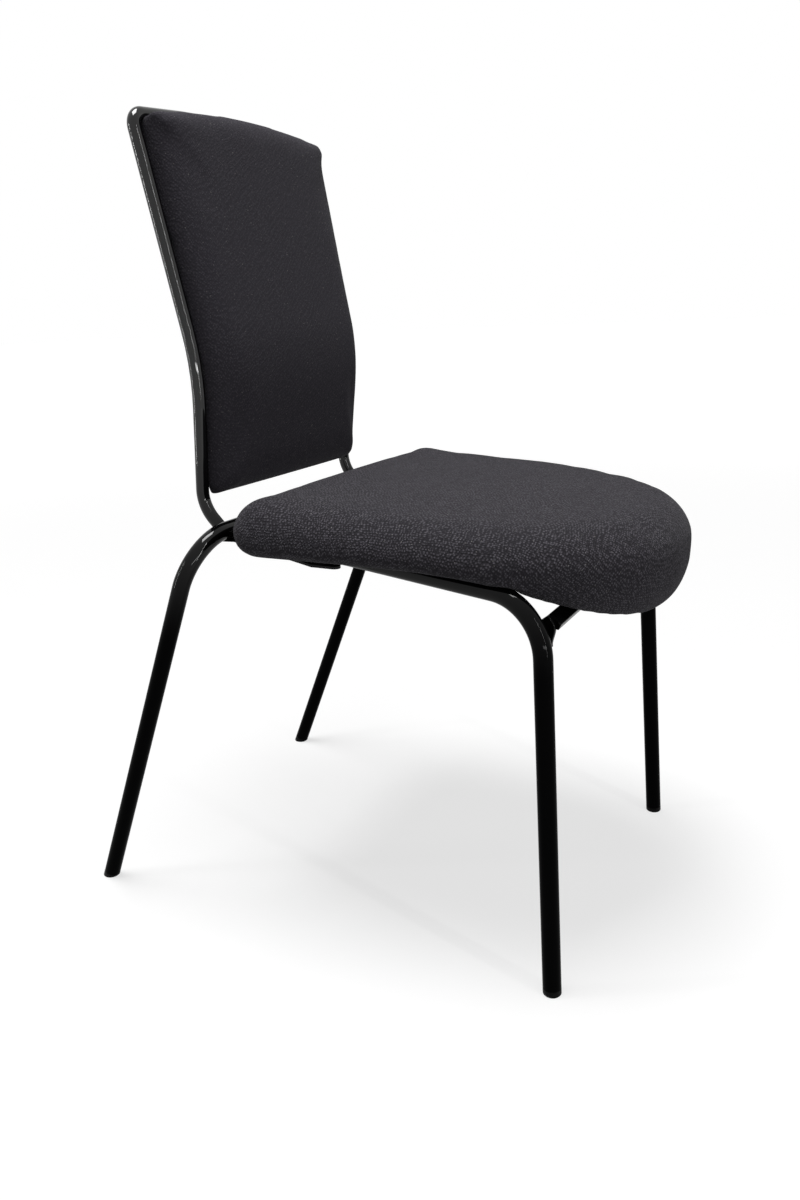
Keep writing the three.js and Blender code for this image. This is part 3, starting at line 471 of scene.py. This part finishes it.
def bend_tube(name, radius, wall, corners, sides=36, degrees_per_step=4):
    """Extrude and spin a circle along straight runs and arcs."""
    bpy.ops.object.select_all(action="DESELECT")
    here = corners[0]["point"]
    heading = (corners[1]["point"] - here).normalized()
    bpy.ops.mesh.primitive_circle_add(
        vertices=sides,
        radius=radius * mm,
        location=here,
        rotation=heading.to_track_quat("Z", "Y").to_euler(),
    )
    tube = bpy.context.active_object
    tube.name = name
    bpy.ops.object.transform_apply(location=True, rotation=True, scale=True)
    bpy.ops.object.mode_set(mode="EDIT")
    bpy.ops.mesh.select_all(action="SELECT")
    for before, at, after in zip(corners, corners[1:], corners[2:]):
        inward = (at["point"] - before["point"]).normalized()
        outward = (after["point"] - at["point"]).normalized()
        angle = inward.angle(outward)
        run = at["radius"] * math.tan(angle / 2)
        start = at["point"] - inward * run
        towards = (outward - inward * outward.dot(inward)).normalized()
        bpy.ops.mesh.extrude_region_move(TRANSFORM_OT_translate={"value": start - here})
        bpy.ops.mesh.spin(
            steps=max(2, round(math.degrees(angle) / degrees_per_step)),
            angle=angle,
            center=start + towards * at["radius"],
            axis=outward.cross(inward).normalized(),
        )
        here = at["point"] + outward * run
    last_run = corners[-1]["point"] - here
    bpy.ops.mesh.extrude_region_move(TRANSFORM_OT_translate={"value": last_run})
    bpy.ops.mesh.select_all(action="SELECT")
    bpy.ops.mesh.remove_doubles(threshold=1e-6)
    bpy.ops.mesh.normals_make_consistent(inside=False)
    bpy.ops.object.mode_set(mode="OBJECT")
    shell = tube.modifiers.new("wall", "SOLIDIFY")
    shell.thickness = wall * mm
    shell.offset = -1
    bpy.ops.object.modifier_apply(modifier=shell.name)
    return tube


# %% [markdown]
# Each leg could be a tube of its own, but on the real chair few tubes make the whole frame. The
# front leg and its rail are one tube on each side, and the rear legs and the crossbar between
# them are one more. The rails run closer together and rise a little to the rear, until they meet
# the crossbar from below. The numbers are the drawing's own: where each centre line turns, and
# how tightly.

# %% Legs and rails
leg_radius, leg_wall = 10, 2
weld_gap = 0.3
front_foot, rear_foot = (218, -301, 7), (230, 301, 7)
front_bend, front_bend_radius = (199, -283.5, 423), 64
rear_bend, rear_bend_radius = (235, 107.4, 465), 60
rail_rear_x = 112
rail_length = rear_bend[1] - front_bend[1]
rail_slope = (rear_bend[2] - 2 * leg_radius - weld_gap - front_bend[2]) / rail_length
rail_converge = (front_bend[0] - rail_rear_x) / rail_length


def rail_x(y):
    return front_bend[0] - rail_converge * (y - front_bend[1])


def rail_z(y):
    return front_bend[2] + rail_slope * (y - front_bend[1])


def mirrored(side, place):
    """A place on the right for side -1, and on the left for side 1."""
    return (side * place[0], *place[1:])


rail_end = rear_bend[1] + leg_radius
for side, word in ((-1, "right"), (1, "left")):
    front_line = [
        corner(*mirrored(side, front_foot)),
        corner(*mirrored(side, front_bend), front_bend_radius),
        corner(side * rail_x(rail_end), rail_end, rail_z(rail_end)),
    ]
    tube = bend_tube(f"front_leg_and_rail_{word}", leg_radius, leg_wall, front_line)
    finish_mesh(tube, finishes["frame_paint"], [f"front_frame_{word}"])

rear_line = [
    corner(*mirrored(-1, rear_foot)),
    corner(*mirrored(-1, rear_bend), rear_bend_radius),
    corner(*rear_bend, rear_bend_radius),
    corner(*rear_foot),
]
tube = bend_tube("rear_legs_and_crossbar", leg_radius, leg_wall, rear_line)
finish_mesh(tube, finishes["frame_paint"], ["rear_frame"])

# %% [markdown]
# The hoop round the back is one thinner tube. Each upright stands on the crossbar, turns at a
# knee just above it, leans forwards to the small of the back and reclines from there. The top
# run is nearly straight; a very large arc bows it by a few millimetres, as on the real chair.

# %% Back hoop
back_radius, back_wall = 7.5, 1.5
upright_foot = (160, rear_bend[1] + leg_radius + back_radius + weld_gap, rear_bend[2])
sunk = 6
knee, knee_radius = (147.5, 489), 45
lumbar, lumbar_radius = (131.4, 644), 306
top, top_radius = (180.4, 911.5), 16
top_x, top_rise, top_bow_radius = 176, 11, 1500
flare = (top_x - upright_foot[0]) / (top[1] - upright_foot[2])
foot_lean = (knee[0] - upright_foot[1]) / (knee[1] - upright_foot[2])


def upright_x(z):
    return upright_foot[0] + flare * (z - upright_foot[2])


half_line = [
    (upright_foot[0], upright_foot[1] - sunk * foot_lean, upright_foot[2] - sunk, 0),
    (upright_x(knee[1]), *knee, knee_radius),
    (upright_x(lumbar[1]), *lumbar, lumbar_radius),
    (top_x, *top, top_radius),
]
hoop_line = [corner(-x, y, z, radius) for x, y, z, radius in half_line]
hoop_line.append(corner(0, top[0], top[1] + top_rise, top_bow_radius))
hoop_line += [corner(x, y, z, radius) for x, y, z, radius in reversed(half_line)]
tube = bend_tube("back_hoop", back_radius, back_wall, hoop_line, degrees_per_step=3)
finish_mesh(tube, finishes["frame_paint"], ["back_frame"])

# %% [markdown]
# Welds fill the corner where two tubes meet. They could be left to a bevel, but two tubes that
# only touch have no shared edge to bevel. So each is a low bead along the joint, a little lumpy
# from the torch, under the same paint. The path of a bead is found by walking round the upright's
# wall and keeping the points that reach the crossbar.

# %% Welds
random.seed(7)
saddle_bead, saddle_steps = 1.7, 28
rail_bead = {"radius": 1.6, "reaches": (-5, -2.5, 0, 2.5, 5), "apart": 2.4, "flare": 4, "sag": 26}


def curve_piece(curve):
    """Put a curve in the scene, named as its data."""
    piece = bpy.data.objects.new(curve.name, curve)
    bpy.context.collection.objects.link(piece)
    return piece


def as_mesh(piece):
    """Turn a curve in the scene into a mesh."""
    make_active(piece)
    bpy.ops.object.convert(target="MESH")
    return bpy.context.active_object


def lay_bead(name, points, radius):
    """A lumpy bead along a line of points, as a mesh."""
    curve = bpy.data.curves.new(name, "CURVE")
    curve.dimensions = "3D"
    curve.bevel_depth = radius * mm
    curve.bevel_resolution = 3
    curve.use_fill_caps = True
    line = curve.splines.new("POLY")
    line.points.add(len(points) - 1)
    for knot, point in zip(line.points, points):
        knot.co = (*point, 1)
        knot.radius = random.uniform(0.85, 1.15)
    bead = as_mesh(curve_piece(curve))
    finish_mesh(bead, finishes["frame_paint"], smooth=60)


def saddle_points(side):
    """Where an upright's wall meets the crossbar, from one side of the contact to the other."""
    foot = Vector(mirrored(side, upright_foot))
    along = (Vector((side * upright_x(knee[1]), *knee)) - foot).normalized()
    across = Vector((1, 0, 0))
    outward = along.cross(across).normalized()
    points = []
    for step in range(saddle_steps):
        angle = 2 * math.pi * step / saddle_steps
        wall = foot + (across * math.cos(angle) + outward * math.sin(angle)) * back_radius
        from_bar = Vector((0, wall.y - rear_bend[1], wall.z - rear_bend[2]))
        slope = 2 * from_bar.dot(along)
        root = slope**2 - 4 * (from_bar.length_squared - (leg_radius + weld_gap) ** 2)
        if root > 0:
            points.append(wall + along * ((-slope + math.sqrt(root)) / 2))
    points.sort(key=lambda p: p.x)
    return [chair_point(*p) for p in points]


def rail_points(side, offset):
    """A line across the rail's end, in front of its contact with the crossbar or behind it."""
    x, y, z = rail_x(rear_bend[1]), rear_bend[1], rear_bend[2] - leg_radius
    return [
        chair_point(
            side * x + reach,
            y + offset * (rail_bead["apart"] + abs(reach) / rail_bead["flare"]),
            z - abs(reach) ** 2 / rail_bead["sag"],
        )
        for reach in rail_bead["reaches"]
    ]


for side, word in ((-1, "right"), (1, "left")):
    lay_bead(f"upright_weld_{word}", saddle_points(side), saddle_bead)
    for offset, end in ((-1, "front"), (1, "rear")):
        lay_bead(f"rail_weld_{word}_{end}", rail_points(side, offset), rail_bead["radius"])

# %% [markdown]
# A cheek plate stands on the inner side of each front bend and holds the crossbar. It follows the
# bend, and its front edge runs back into the leg below the bar. It could be cut from a cube, but
# its outline is all arcs. So the outline is drawn as a flat curve round the bend's centre, and
# extrude and bevel give that curve a thickness with eased edges.

# %% Cheek plates
bend_centre = (-225.5, 361.6)
cheek = {
    "inner_x": 183.7, "thickness": 6, "bevel": 0.8, "from_angle": 142.5, "to_angle": 168,
    "inner_radius": 60, "outer_radius": 77, "lower_radius": 66, "taper_angle": 150, "steps": 16,
}


def cheek_outline():
    """The edge in Y and Z from the bend's centre: down its front, then back up its rear."""
    start, end, taper = (cheek[key] for key in ("from_angle", "to_angle", "taper_angle"))
    angles = [start + (end - start) * step / cheek["steps"] for step in range(cheek["steps"] + 1)]
    edge = []
    for angle in angles:
        share = max(0, (angle - taper) / (end - taper))
        drop = (cheek["outer_radius"] - cheek["lower_radius"]) * share**2 * (3 - 2 * share)
        edge.append((cheek["outer_radius"] - drop, math.radians(angle)))
    edge += [(cheek["inner_radius"], math.radians(angle)) for angle in reversed(angles)]
    return [(r * math.cos(angle) * mm, r * math.sin(angle) * mm) for r, angle in edge]


# This turn takes a flat curve's X and Y to the chair's Y and Z.
upright_plane = Matrix(((0, 0, 1), (1, 0, 0), (0, 1, 0))).to_4x4()
for side, word in ((-1, "right"), (1, "left")):
    curve = bpy.data.curves.new(f"crossbar_cheek_{word}", "CURVE")
    curve.dimensions = "2D"
    curve.fill_mode = "BOTH"
    curve.extrude = (cheek["thickness"] / 2 - cheek["bevel"]) * mm
    curve.bevel_depth = cheek["bevel"] * mm
    curve.bevel_resolution = 2
    curve.offset = -cheek["bevel"] * mm
    line = curve.splines.new("POLY")
    edge = cheek_outline()
    line.points.add(len(edge) - 1)
    line.use_cyclic_u = True
    for knot, (y, z) in zip(line.points, edge):
        knot.co = (y, z, 0, 1)
    plate = curve_piece(curve)
    middle = chair_point(side * (cheek["inner_x"] + cheek["thickness"] / 2), *bend_centre)
    plate.matrix_world = Matrix.Translation(middle) @ upright_plane
    plate = as_mesh(plate)
    finish_mesh(plate, finishes["frame_paint"], [f"crossbar_gusset_{word}"])

# %% [markdown]
# The seat is a block of foam on a moulded board, wrapped in cloth that turns under the board. Its
# plan is a D with small rear corners. The board lies along the rails and folds down over the
# crossbar, and the cloth is dented where it lies over the rails. A sculpted cube would not keep
# to these places, so the plan and the heights are written as formulas first.

# %% Seat plan and board
# Insets are for the sides, the front and the rear.
seat = {
    "half_width": 236, "shoulder_y": -114.4, "nose_y": -380.5, "nose_width": 232,
    "nose_power": 2.18, "rear_y": 77.5, "rear_corner": 45, "top_z": 506.5, "top_slope": 0.0867,
    "front_crown": 6.3, "waist_z": 466.9, "waist_slope": 0.0718, "lower_z": 447,
    "fall_slope": 0.55, "fall_y": -217.5, "fall_blend": 31, "upper_insets": (30.4, 34.1, 43),
    "lower_insets": (20.1, 34.1, 22), "hem_inset": 43, "hem_margin": 5, "hem_drop": 1.3,
    "rail_room": 1, "held_height": 6,
}
board = {"fold_y": -205, "fold_radius": 100, "fold_angle": 27, "above_rails": 1.8}
bend_start_y = -222.0


def seat_outline(rear_steps=24, corner_steps=16, side_steps=18, nose_steps=60):
    """Places round the plan with their outward direction, from the middle of the rear edge."""
    half = []
    straight = seat["half_width"] - seat["rear_corner"]
    corner_y = seat["rear_y"] - seat["rear_corner"]
    for step in range(rear_steps):
        half.append((straight * step / rear_steps, seat["rear_y"], 0, 1))
    for step in range(corner_steps + 1):
        angle = math.pi / 2 * (1 - step / corner_steps)
        c, s = math.cos(angle), math.sin(angle)
        half.append((straight + seat["rear_corner"] * c, corner_y + seat["rear_corner"] * s, c, s))
    for step in range(1, side_steps):
        share = step / side_steps
        x = seat["half_width"] + (seat["nose_width"] - seat["half_width"]) * share
        half.append((x, corner_y + (seat["shoulder_y"] - corner_y) * share, 1, 0))
    width, depth = seat["nose_width"], seat["shoulder_y"] - seat["nose_y"]
    power = seat["nose_power"]
    for step in range(nose_steps + 1):
        angle = math.pi / 2 * step / nose_steps
        reach = 0 if step == nose_steps else math.cos(angle) ** (2 / power)
        drop = math.sin(angle) ** (2 / power)
        out = Vector((reach ** (power - 1) / width, -(drop ** (power - 1)) / depth)).normalized()
        half.append((width * reach, seat["shoulder_y"] - depth * drop, *out))
    other = [(-x, y, -nx, ny) for x, y, nx, ny in reversed(half) if x]
    return half + other


def by_edge(across, side, low, high):
    """A value for the sides, blended into those for the two ends by the outline's direction."""
    low_share = max(0, -across) ** 2
    high_share = max(0, across) ** 2
    return side * (1 - low_share - high_share) + low * low_share + high * high_share


def board_underside(y):
    """The board's lower face: along the rails, round the fold, and down over the crossbar."""
    entry, fall = math.atan(rail_slope), math.radians(board["fold_angle"])
    start_z = rail_z(board["fold_y"]) + leg_radius + board["above_rails"]
    if y > board["fold_y"]:
        return start_z + rail_slope * (y - board["fold_y"])
    radius = board["fold_radius"]
    centre_y = board["fold_y"] + radius * math.sin(entry)
    centre_z = start_z - radius * math.cos(entry)
    end_y = centre_y - radius * math.sin(fall)
    if y > end_y:
        return centre_z + math.sqrt(radius**2 - (centre_y - y) ** 2)
    return centre_z + radius * math.cos(fall) - (end_y - y) * math.tan(fall)


def over_rails(x, y):
    """The height of a rail's top, with room, above a place in the plan, or zero beside it."""
    radius = leg_radius + seat["rail_room"]
    across = abs(abs(x) - rail_x(y))
    if across >= radius:
        return 0
    up = math.sqrt(radius**2 - across**2)
    if y > bend_start_y:
        return rail_z(y) + up
    reach = front_bend_radius + up
    forward = bend_centre[0] - y
    return bend_centre[1] + math.sqrt(reach**2 - forward**2) if forward < reach else 0


print("seat plan:", len(seat_outline()), "points round it")

# %% [markdown]
# A cushion is round all over, yet it has to follow its plan and sit flat on its board. It could
# be a cube with many subdivisions, but its corners would wander. Rings round the plan keep to it:
# from the middle of the underside out to the hem, up the turn below, up the turn above, and in
# again over the face. Both cushions use this, each with its own shape.

# %% Cushion rings
under_rings, face_rings = 9, 14
turn_below_rings, turn_above_rings = 6, 10


def skin(name, rings, low_pole, high_pole):
    """A closed mesh from rings, with a fan to a pole at each end."""
    mesh = bpy.data.meshes.new(name)
    count = len(rings[0])
    points = [p for ring in rings for p in ring] + [low_pole, high_pole]
    faces = []
    for row in range(len(rings) - 1):
        base = row * count
        for index in range(count):
            after = (index + 1) % count
            faces.append((base + after, base + index, base + count + index, base + count + after))
    last = (len(rings) - 1) * count
    for index in range(count):
        after = (index + 1) % count
        faces.append((index, after, len(points) - 2))
        faces.append((last + after, last + index, len(points) - 1))
    mesh.from_pydata(points, [], faces)
    piece = bpy.data.objects.new(name, mesh)
    bpy.context.collection.objects.link(piece)
    return piece


def pillow(name, outline, shape, shrink):
    """A cushion in its outline. All its faces start a little inside the shape's own."""
    power = shape["power"]
    middle = shape["middle"]

    def ring(inset_of, height_of):
        places = []
        for x, y, nx, ny in outline:
            inset = inset_of(ny) + shrink
            a, b = x - nx * inset, y - ny * inset
            places.append((a, b, height_of(a, b, ny)))
        return places

    def towards_middle(places, share, height_of):
        inner = [(a * share, middle + (b - middle) * share) for a, b, _ in places]
        return [(a, b, height_of(a, b)) for a, b in inner]

    def turn(step, steps):
        """How far a ring has moved in, and how far along, on its way round a cushion's side."""
        angle = math.pi / 2 * step / steps
        return 1 - math.cos(angle) ** (2 / power), math.sin(angle) ** (2 / power)

    def hem(a, b, _=0):
        return shape["hem"](a, b) + shrink

    def face(a, b, _=0):
        return shape["upper"](a, b) - shrink

    def below(a, b, ny):
        lower = shape["lower"](a, b, ny) + shrink
        return max(shape["waist"](b, ny) * (1 - along) + lower * along, shape["floor"](a, b))

    def above(a, b, ny):
        return shape["waist"](b, ny) * (1 - along) + face(a, b) * along

    rings = [ring(shape["hem_inset"], hem)]
    for step in range(1, under_rings):
        rings.insert(0, towards_middle(rings[0], 1 - step / under_rings, hem))
    for step in range(turn_below_rings, -1, -1):
        out, along = turn(step, turn_below_rings)
        rings.append(ring(lambda ny: out * shape["lower_inset"](ny), below))
    for step in range(1, turn_above_rings + 1):
        out, along = turn(step, turn_above_rings)
        rings.append(ring(lambda ny: out * shape["upper_inset"](ny), above))
    rim = rings[-1]
    for step in range(1, face_rings):
        rings.append(towards_middle(rim, 1 - step / face_rings, face))
    place = shape["place"]
    poles = (place(0, middle, hem(0, middle)), place(0, middle, face(0, middle)))
    return skin(name, [[place(*p) for p in ring] for ring in rings], *poles)


# %% [markdown]
# The seat's sides are round, its face has a slight crown in front, and its front rolls down over
# the crossbar. An even thickness all round would be simpler, but this roll is what gives the seat
# its heavy nose. So the lower edge falls away along a soft curve of its own.

# %% Seat shape


def seat_top(x, y):
    forward = min(1, max(0, 2 * (seat["rear_y"] - y) / (seat["rear_y"] - seat["nose_y"])))
    crown = forward * seat["front_crown"] * (1 - (x / seat["half_width"]) ** 2)
    return seat["top_z"] + seat["top_slope"] * y + crown


def seat_lower(a, b, ny):
    fallen = math.log1p(math.exp((seat["fall_y"] - b) / seat["fall_blend"])) * seat["fall_blend"]
    lower = seat["lower_z"] - seat["fall_slope"] * fallen
    return lower + max(0, ny) ** 2 * max(0, board_underside(b) - lower)


def seat_hem_inset(ny):
    return max(seat["hem_inset"], by_edge(ny, *seat["lower_insets"]) + seat["hem_margin"])


seat_shape = {
    "middle": (seat["rear_y"] + seat["nose_y"]) / 2,
    "power": 1.8,
    "lower_inset": lambda ny: by_edge(ny, *seat["lower_insets"]),
    "upper_inset": lambda ny: by_edge(ny, *seat["upper_insets"]),
    "hem_inset": seat_hem_inset,
    "hem": lambda a, b: board_underside(b) - seat["hem_drop"],
    "waist": lambda b, ny: seat["waist_z"] + seat["waist_slope"] * b,
    "lower": seat_lower,
    "upper": seat_top,
    "floor": over_rails,
    "place": chair_point,
}
print("seat top at its middle:", round(seat_top(0, seat_shape["middle"]), 1), "mm")

# %% [markdown]
# Stuffing makes the cloth swell between the places where it is held. Smoothing alone would round
# the edges but leave the faces flat. So each cushion starts a little small, is remeshed into even
# faces, and is blown up for a few frames by Blender's Cloth, with its underside pinned to the
# board. How far a point may move is capped, which keeps the cushion in its place on the frame.

# %% Stuffing
voxel_size, stuffing_frames, most_swelling = 5, 20, 2.5
cloth_settings = {
    "quality": 5, "mass": 0.3, "tension_stiffness": 12, "compression_stiffness": 12,
    "bending_stiffness": 1.5, "use_pressure": True, "uniform_pressure_force": 4,
    "vertex_group_mass": "held",
}


def apply_all(piece):
    make_active(piece)
    for modifier in list(piece.modifiers):
        bpy.ops.object.modifier_apply(modifier=modifier.name)


def swell(cushion, held):
    """Blow a closed cushion up a little. held says which places are fixed to the board."""
    rest = [v.co.copy() for v in cushion.data.vertices]
    pins = cushion.vertex_groups.new(name="held")
    pins.add([i for i, p in enumerate(rest) if held(p)], 1, "REPLACE")
    cloth = cushion.modifiers.new("cloth", "CLOTH")
    for key, value in cloth_settings.items():
        setattr(cloth.settings, key, value)
    cloth.settings.effector_weights.gravity = 0
    for step in range(1, stuffing_frames + 1):
        bpy.context.scene.frame_set(step)
    apply_all(cushion)
    bpy.context.scene.frame_set(1)
    furthest = 0
    for vertex, start in zip(cushion.data.vertices, rest):
        move = vertex.co - start
        furthest = max(furthest, move.length)
        if move.length > most_swelling * mm:
            vertex.co = start + move.normalized() * most_swelling * mm
    cushion.vertex_groups.clear()
    print(cushion.name, "swelled by", round(furthest / mm, 1), "mm, capped at", most_swelling)


def stuff(cushion, held):
    remesh = cushion.modifiers.new("even_faces", "REMESH")
    remesh.mode = "VOXEL"
    remesh.voxel_size = voxel_size * mm
    apply_all(cushion)
    swell(cushion, held)
    even = cushion.modifiers.new("even_out", "SMOOTH")
    even.factor = 0.5
    even.iterations = 9
    smooth = cushion.modifiers.new("finer", "SUBSURF")
    smooth.levels = smooth.render_levels = 1
    apply_all(cushion)


def on_seat_board(p):
    return p.z / mm < board_underside(p.y / mm - middle_y) + seat["held_height"]


seat_cushion = pillow("seat_cushion", seat_outline(), seat_shape, shrink=0.6)
stuff(seat_cushion, held=on_seat_board)
finish_mesh(seat_cushion, seat_cloth, ["seat_cover", "seat_foam"], smooth=180)

# %% [markdown]
# The back cushion fills the hoop and presses a little against its tubes. It could be made flat and
# bent by a curve, but the bend would shift its edges. So its places are drawn on the spine of the
# uprights from the start, up and across, with a depth forwards of the hoop's centre line. It leans
# forwards to the small of the back and then reclines.

# %% Back shape
# Insets and waist depths are for the sides, the bottom and the top.
back = {
    "bottom_z": 499, "top_z": 913, "crown": 10, "tube_overlap": 1.5, "bottom_corner": 4,
    "top_corner": 5, "front_depth": 31, "front_crown": 3, "rear_depth": -3.2,
    "front_insets": (28, 28, 15), "rear_insets": (3, 3, 34), "hem_insets": (12, 12, 37),
    "waist_depths": (8, 4, 19),
}


def spine(z):
    """The hoop's centre line at a height: its place along Y and Z, and its lean."""
    lean_low = (lumbar[0] - knee[0]) / (lumbar[1] - knee[1])
    lean_high = (top[0] - lumbar[0]) / (top[1] - lumbar[1])
    low, high = math.atan(lean_low), math.atan(lean_high)
    run = lumbar_radius * math.tan((high - low) / 2)
    start_z, end_z = lumbar[1] - run * math.cos(low), lumbar[1] + run * math.cos(high)
    if z < start_z:
        return lumbar[0] + lean_low * (z - lumbar[1]), z, low
    if z > end_z:
        return lumbar[0] + lean_high * (z - lumbar[1]), z, high
    lean = low + (high - low) * (z - start_z) / (end_z - start_z)
    start_y = lumbar[0] + lean_low * (start_z - lumbar[1])
    centre_y = start_y + lumbar_radius * math.cos(low)
    centre_z = start_z - lumbar_radius * math.sin(low)
    y = centre_y - lumbar_radius * math.cos(lean)
    return y, centre_z + lumbar_radius * math.sin(lean), lean


def on_back(x, z, depth):
    y, height, lean = spine(z)
    return chair_point(x, y - depth * math.cos(lean), height + depth * math.sin(lean))


def back_half_width(z):
    return upright_x(z) - back_radius + back["tube_overlap"]


def back_outline(small, large, below=0, above=0, beside=0):
    """Places round the back with their outward direction, from the middle of its top.

    small and large are the radii of the bottom and top corners. The last three pull the outline in
    at the bottom, the top and the sides.
    """
    base_steps, small_steps, side_steps, large_steps, top_steps = 18, 10, 44, 16, 18
    low, high = back["bottom_z"] + below, back["top_z"] - above
    bottom_x, top_x = back_half_width(low) - beside, back_half_width(high) - beside
    half = [((bottom_x - small) * step / base_steps, low, 0, -1) for step in range(base_steps)]
    # A bottom corner is pulled in fully both ways, which keeps its rings square.
    for step in range(small_steps + 1):
        angle = -math.pi / 2 * (1 - step / small_steps)
        c, s = math.cos(angle), math.sin(angle)
        half.append((bottom_x - small + small * c, low + small + small * s, 1, -1))
    for step in range(1, side_steps):
        z = low + small + (high - large - low - small) * step / side_steps
        half.append((back_half_width(z) - beside, z, 1, 0))
    for step in range(large_steps + 1):
        angle = math.pi / 2 * step / large_steps
        c, s = math.cos(angle), math.sin(angle)
        half.append((top_x - large + large * c, high - large + large * s, c, s))
    for step in range(1, top_steps + 1):
        x = (top_x - large) * (1 - step / top_steps)
        rise = back["crown"] * (1 - (x / (top_x - large)) ** 2)
        half.append((x, high + rise, 0, 1))
    other = [(-x, z, -nx, nz) for x, z, nx, nz in reversed(half) if x]
    return (half + other)[::-1]


def back_face(x, z):
    return back["front_depth"] + back["front_crown"] * (1 - (x / back_half_width(z)) ** 2)


def behind_board(p):
    x, y, z = p / mm
    spine_y, _, lean = spine(z)
    return (spine_y + middle_y - y) * math.cos(lean) < 0


back_shape = {
    "middle": (back["bottom_z"] + back["top_z"]) / 2,
    "power": 2,
    "lower_inset": lambda nz: by_edge(nz, *back["rear_insets"]),
    "upper_inset": lambda nz: by_edge(nz, *back["front_insets"]),
    "hem_inset": lambda nz: by_edge(nz, *back["hem_insets"]),
    "hem": lambda x, z: back["rear_depth"],
    "waist": lambda z, nz: by_edge(nz, *back["waist_depths"]),
    "lower": lambda x, z, nz: back["rear_depth"],
    "upper": back_face,
    "floor": lambda x, z: -back["front_depth"],
    "place": on_back,
}
back_edge = back_outline(back["bottom_corner"], back["top_corner"])
back_cushion = pillow("back_cushion", back_edge, back_shape, shrink=0.4)
stuff(back_cushion, held=behind_board)
finish_mesh(back_cushion, back_cloth, ["back_cover", "back_foam"], smooth=180)

# %% [markdown]
# Two thin cloths close the undersides: a felt stretched under the seat board, and a panel of the
# cover cloth behind the back. A fan of faces from the middle would do for a flat sheet, but it
# creases where the board is curved. So each is woven as a grid of rows across its outline, laid
# on the board's curve, and given a fine thickness. It is cut to about the plan of its board.

# %% Under-cloths


def stretched_cloth(name, outline, inset, columns, place, thickness):
    """A sheet inside an outline, woven as a grid of rows across it, and its flat area."""
    mesh = bpy.data.meshes.new(name)
    reach = {}
    for x, y, nx, ny in outline:
        row = round(y - ny * inset)
        reach[row] = max(reach.get(row, 0), x - nx * inset)
    rows = [row for row in sorted(reach) if reach[row] > 1]
    steps = range(columns + 1)
    points = [place(reach[row] * (2 * step / columns - 1), row) for row in rows for step in steps]
    faces = []
    for row in range(len(rows) - 1):
        for step in range(columns):
            first = row * len(steps) + step
            faces.append((first, first + 1, first + len(steps) + 1, first + len(steps)))
    mesh.from_pydata(points, [], faces)
    area = sum(polygon.area for polygon in mesh.polygons)
    piece = bpy.data.objects.new(name, mesh)
    bpy.context.collection.objects.link(piece)
    shell = piece.modifiers.new("thickness", "SOLIDIFY")
    shell.thickness = thickness * mm
    shell.offset = 0
    apply_all(piece)
    bpy.ops.object.mode_set(mode="EDIT")
    bpy.ops.mesh.select_all(action="SELECT")
    bpy.ops.mesh.normals_make_consistent(inside=False)
    bpy.ops.object.mode_set(mode="OBJECT")
    return piece, area


felt_drop = 1.55
felt, felt_area = stretched_cloth(
    "seat_under_felt",
    seat_outline(),
    inset=44,
    columns=40,
    place=lambda x, y: chair_point(x, y, board_underside(y) - felt_drop),
    thickness=0.3,
)
finish_mesh(felt, finishes["dust_cloth"], ["seat_dust_cover"])

cloth_depth = -4.2
rear_cloth, rear_area = stretched_cloth(
    "back_rear_cloth",
    back_outline(12, 12, below=11, above=34, beside=13),
    inset=0,
    columns=24,
    place=lambda x, z: on_back(x, z, cloth_depth),
    thickness=0.9,
)
finish_mesh(rear_cloth, back_cloth, ["back_rear_cover"])
print("felt area", round(felt_area, 4), "rear cloth area", round(rear_area, 4))
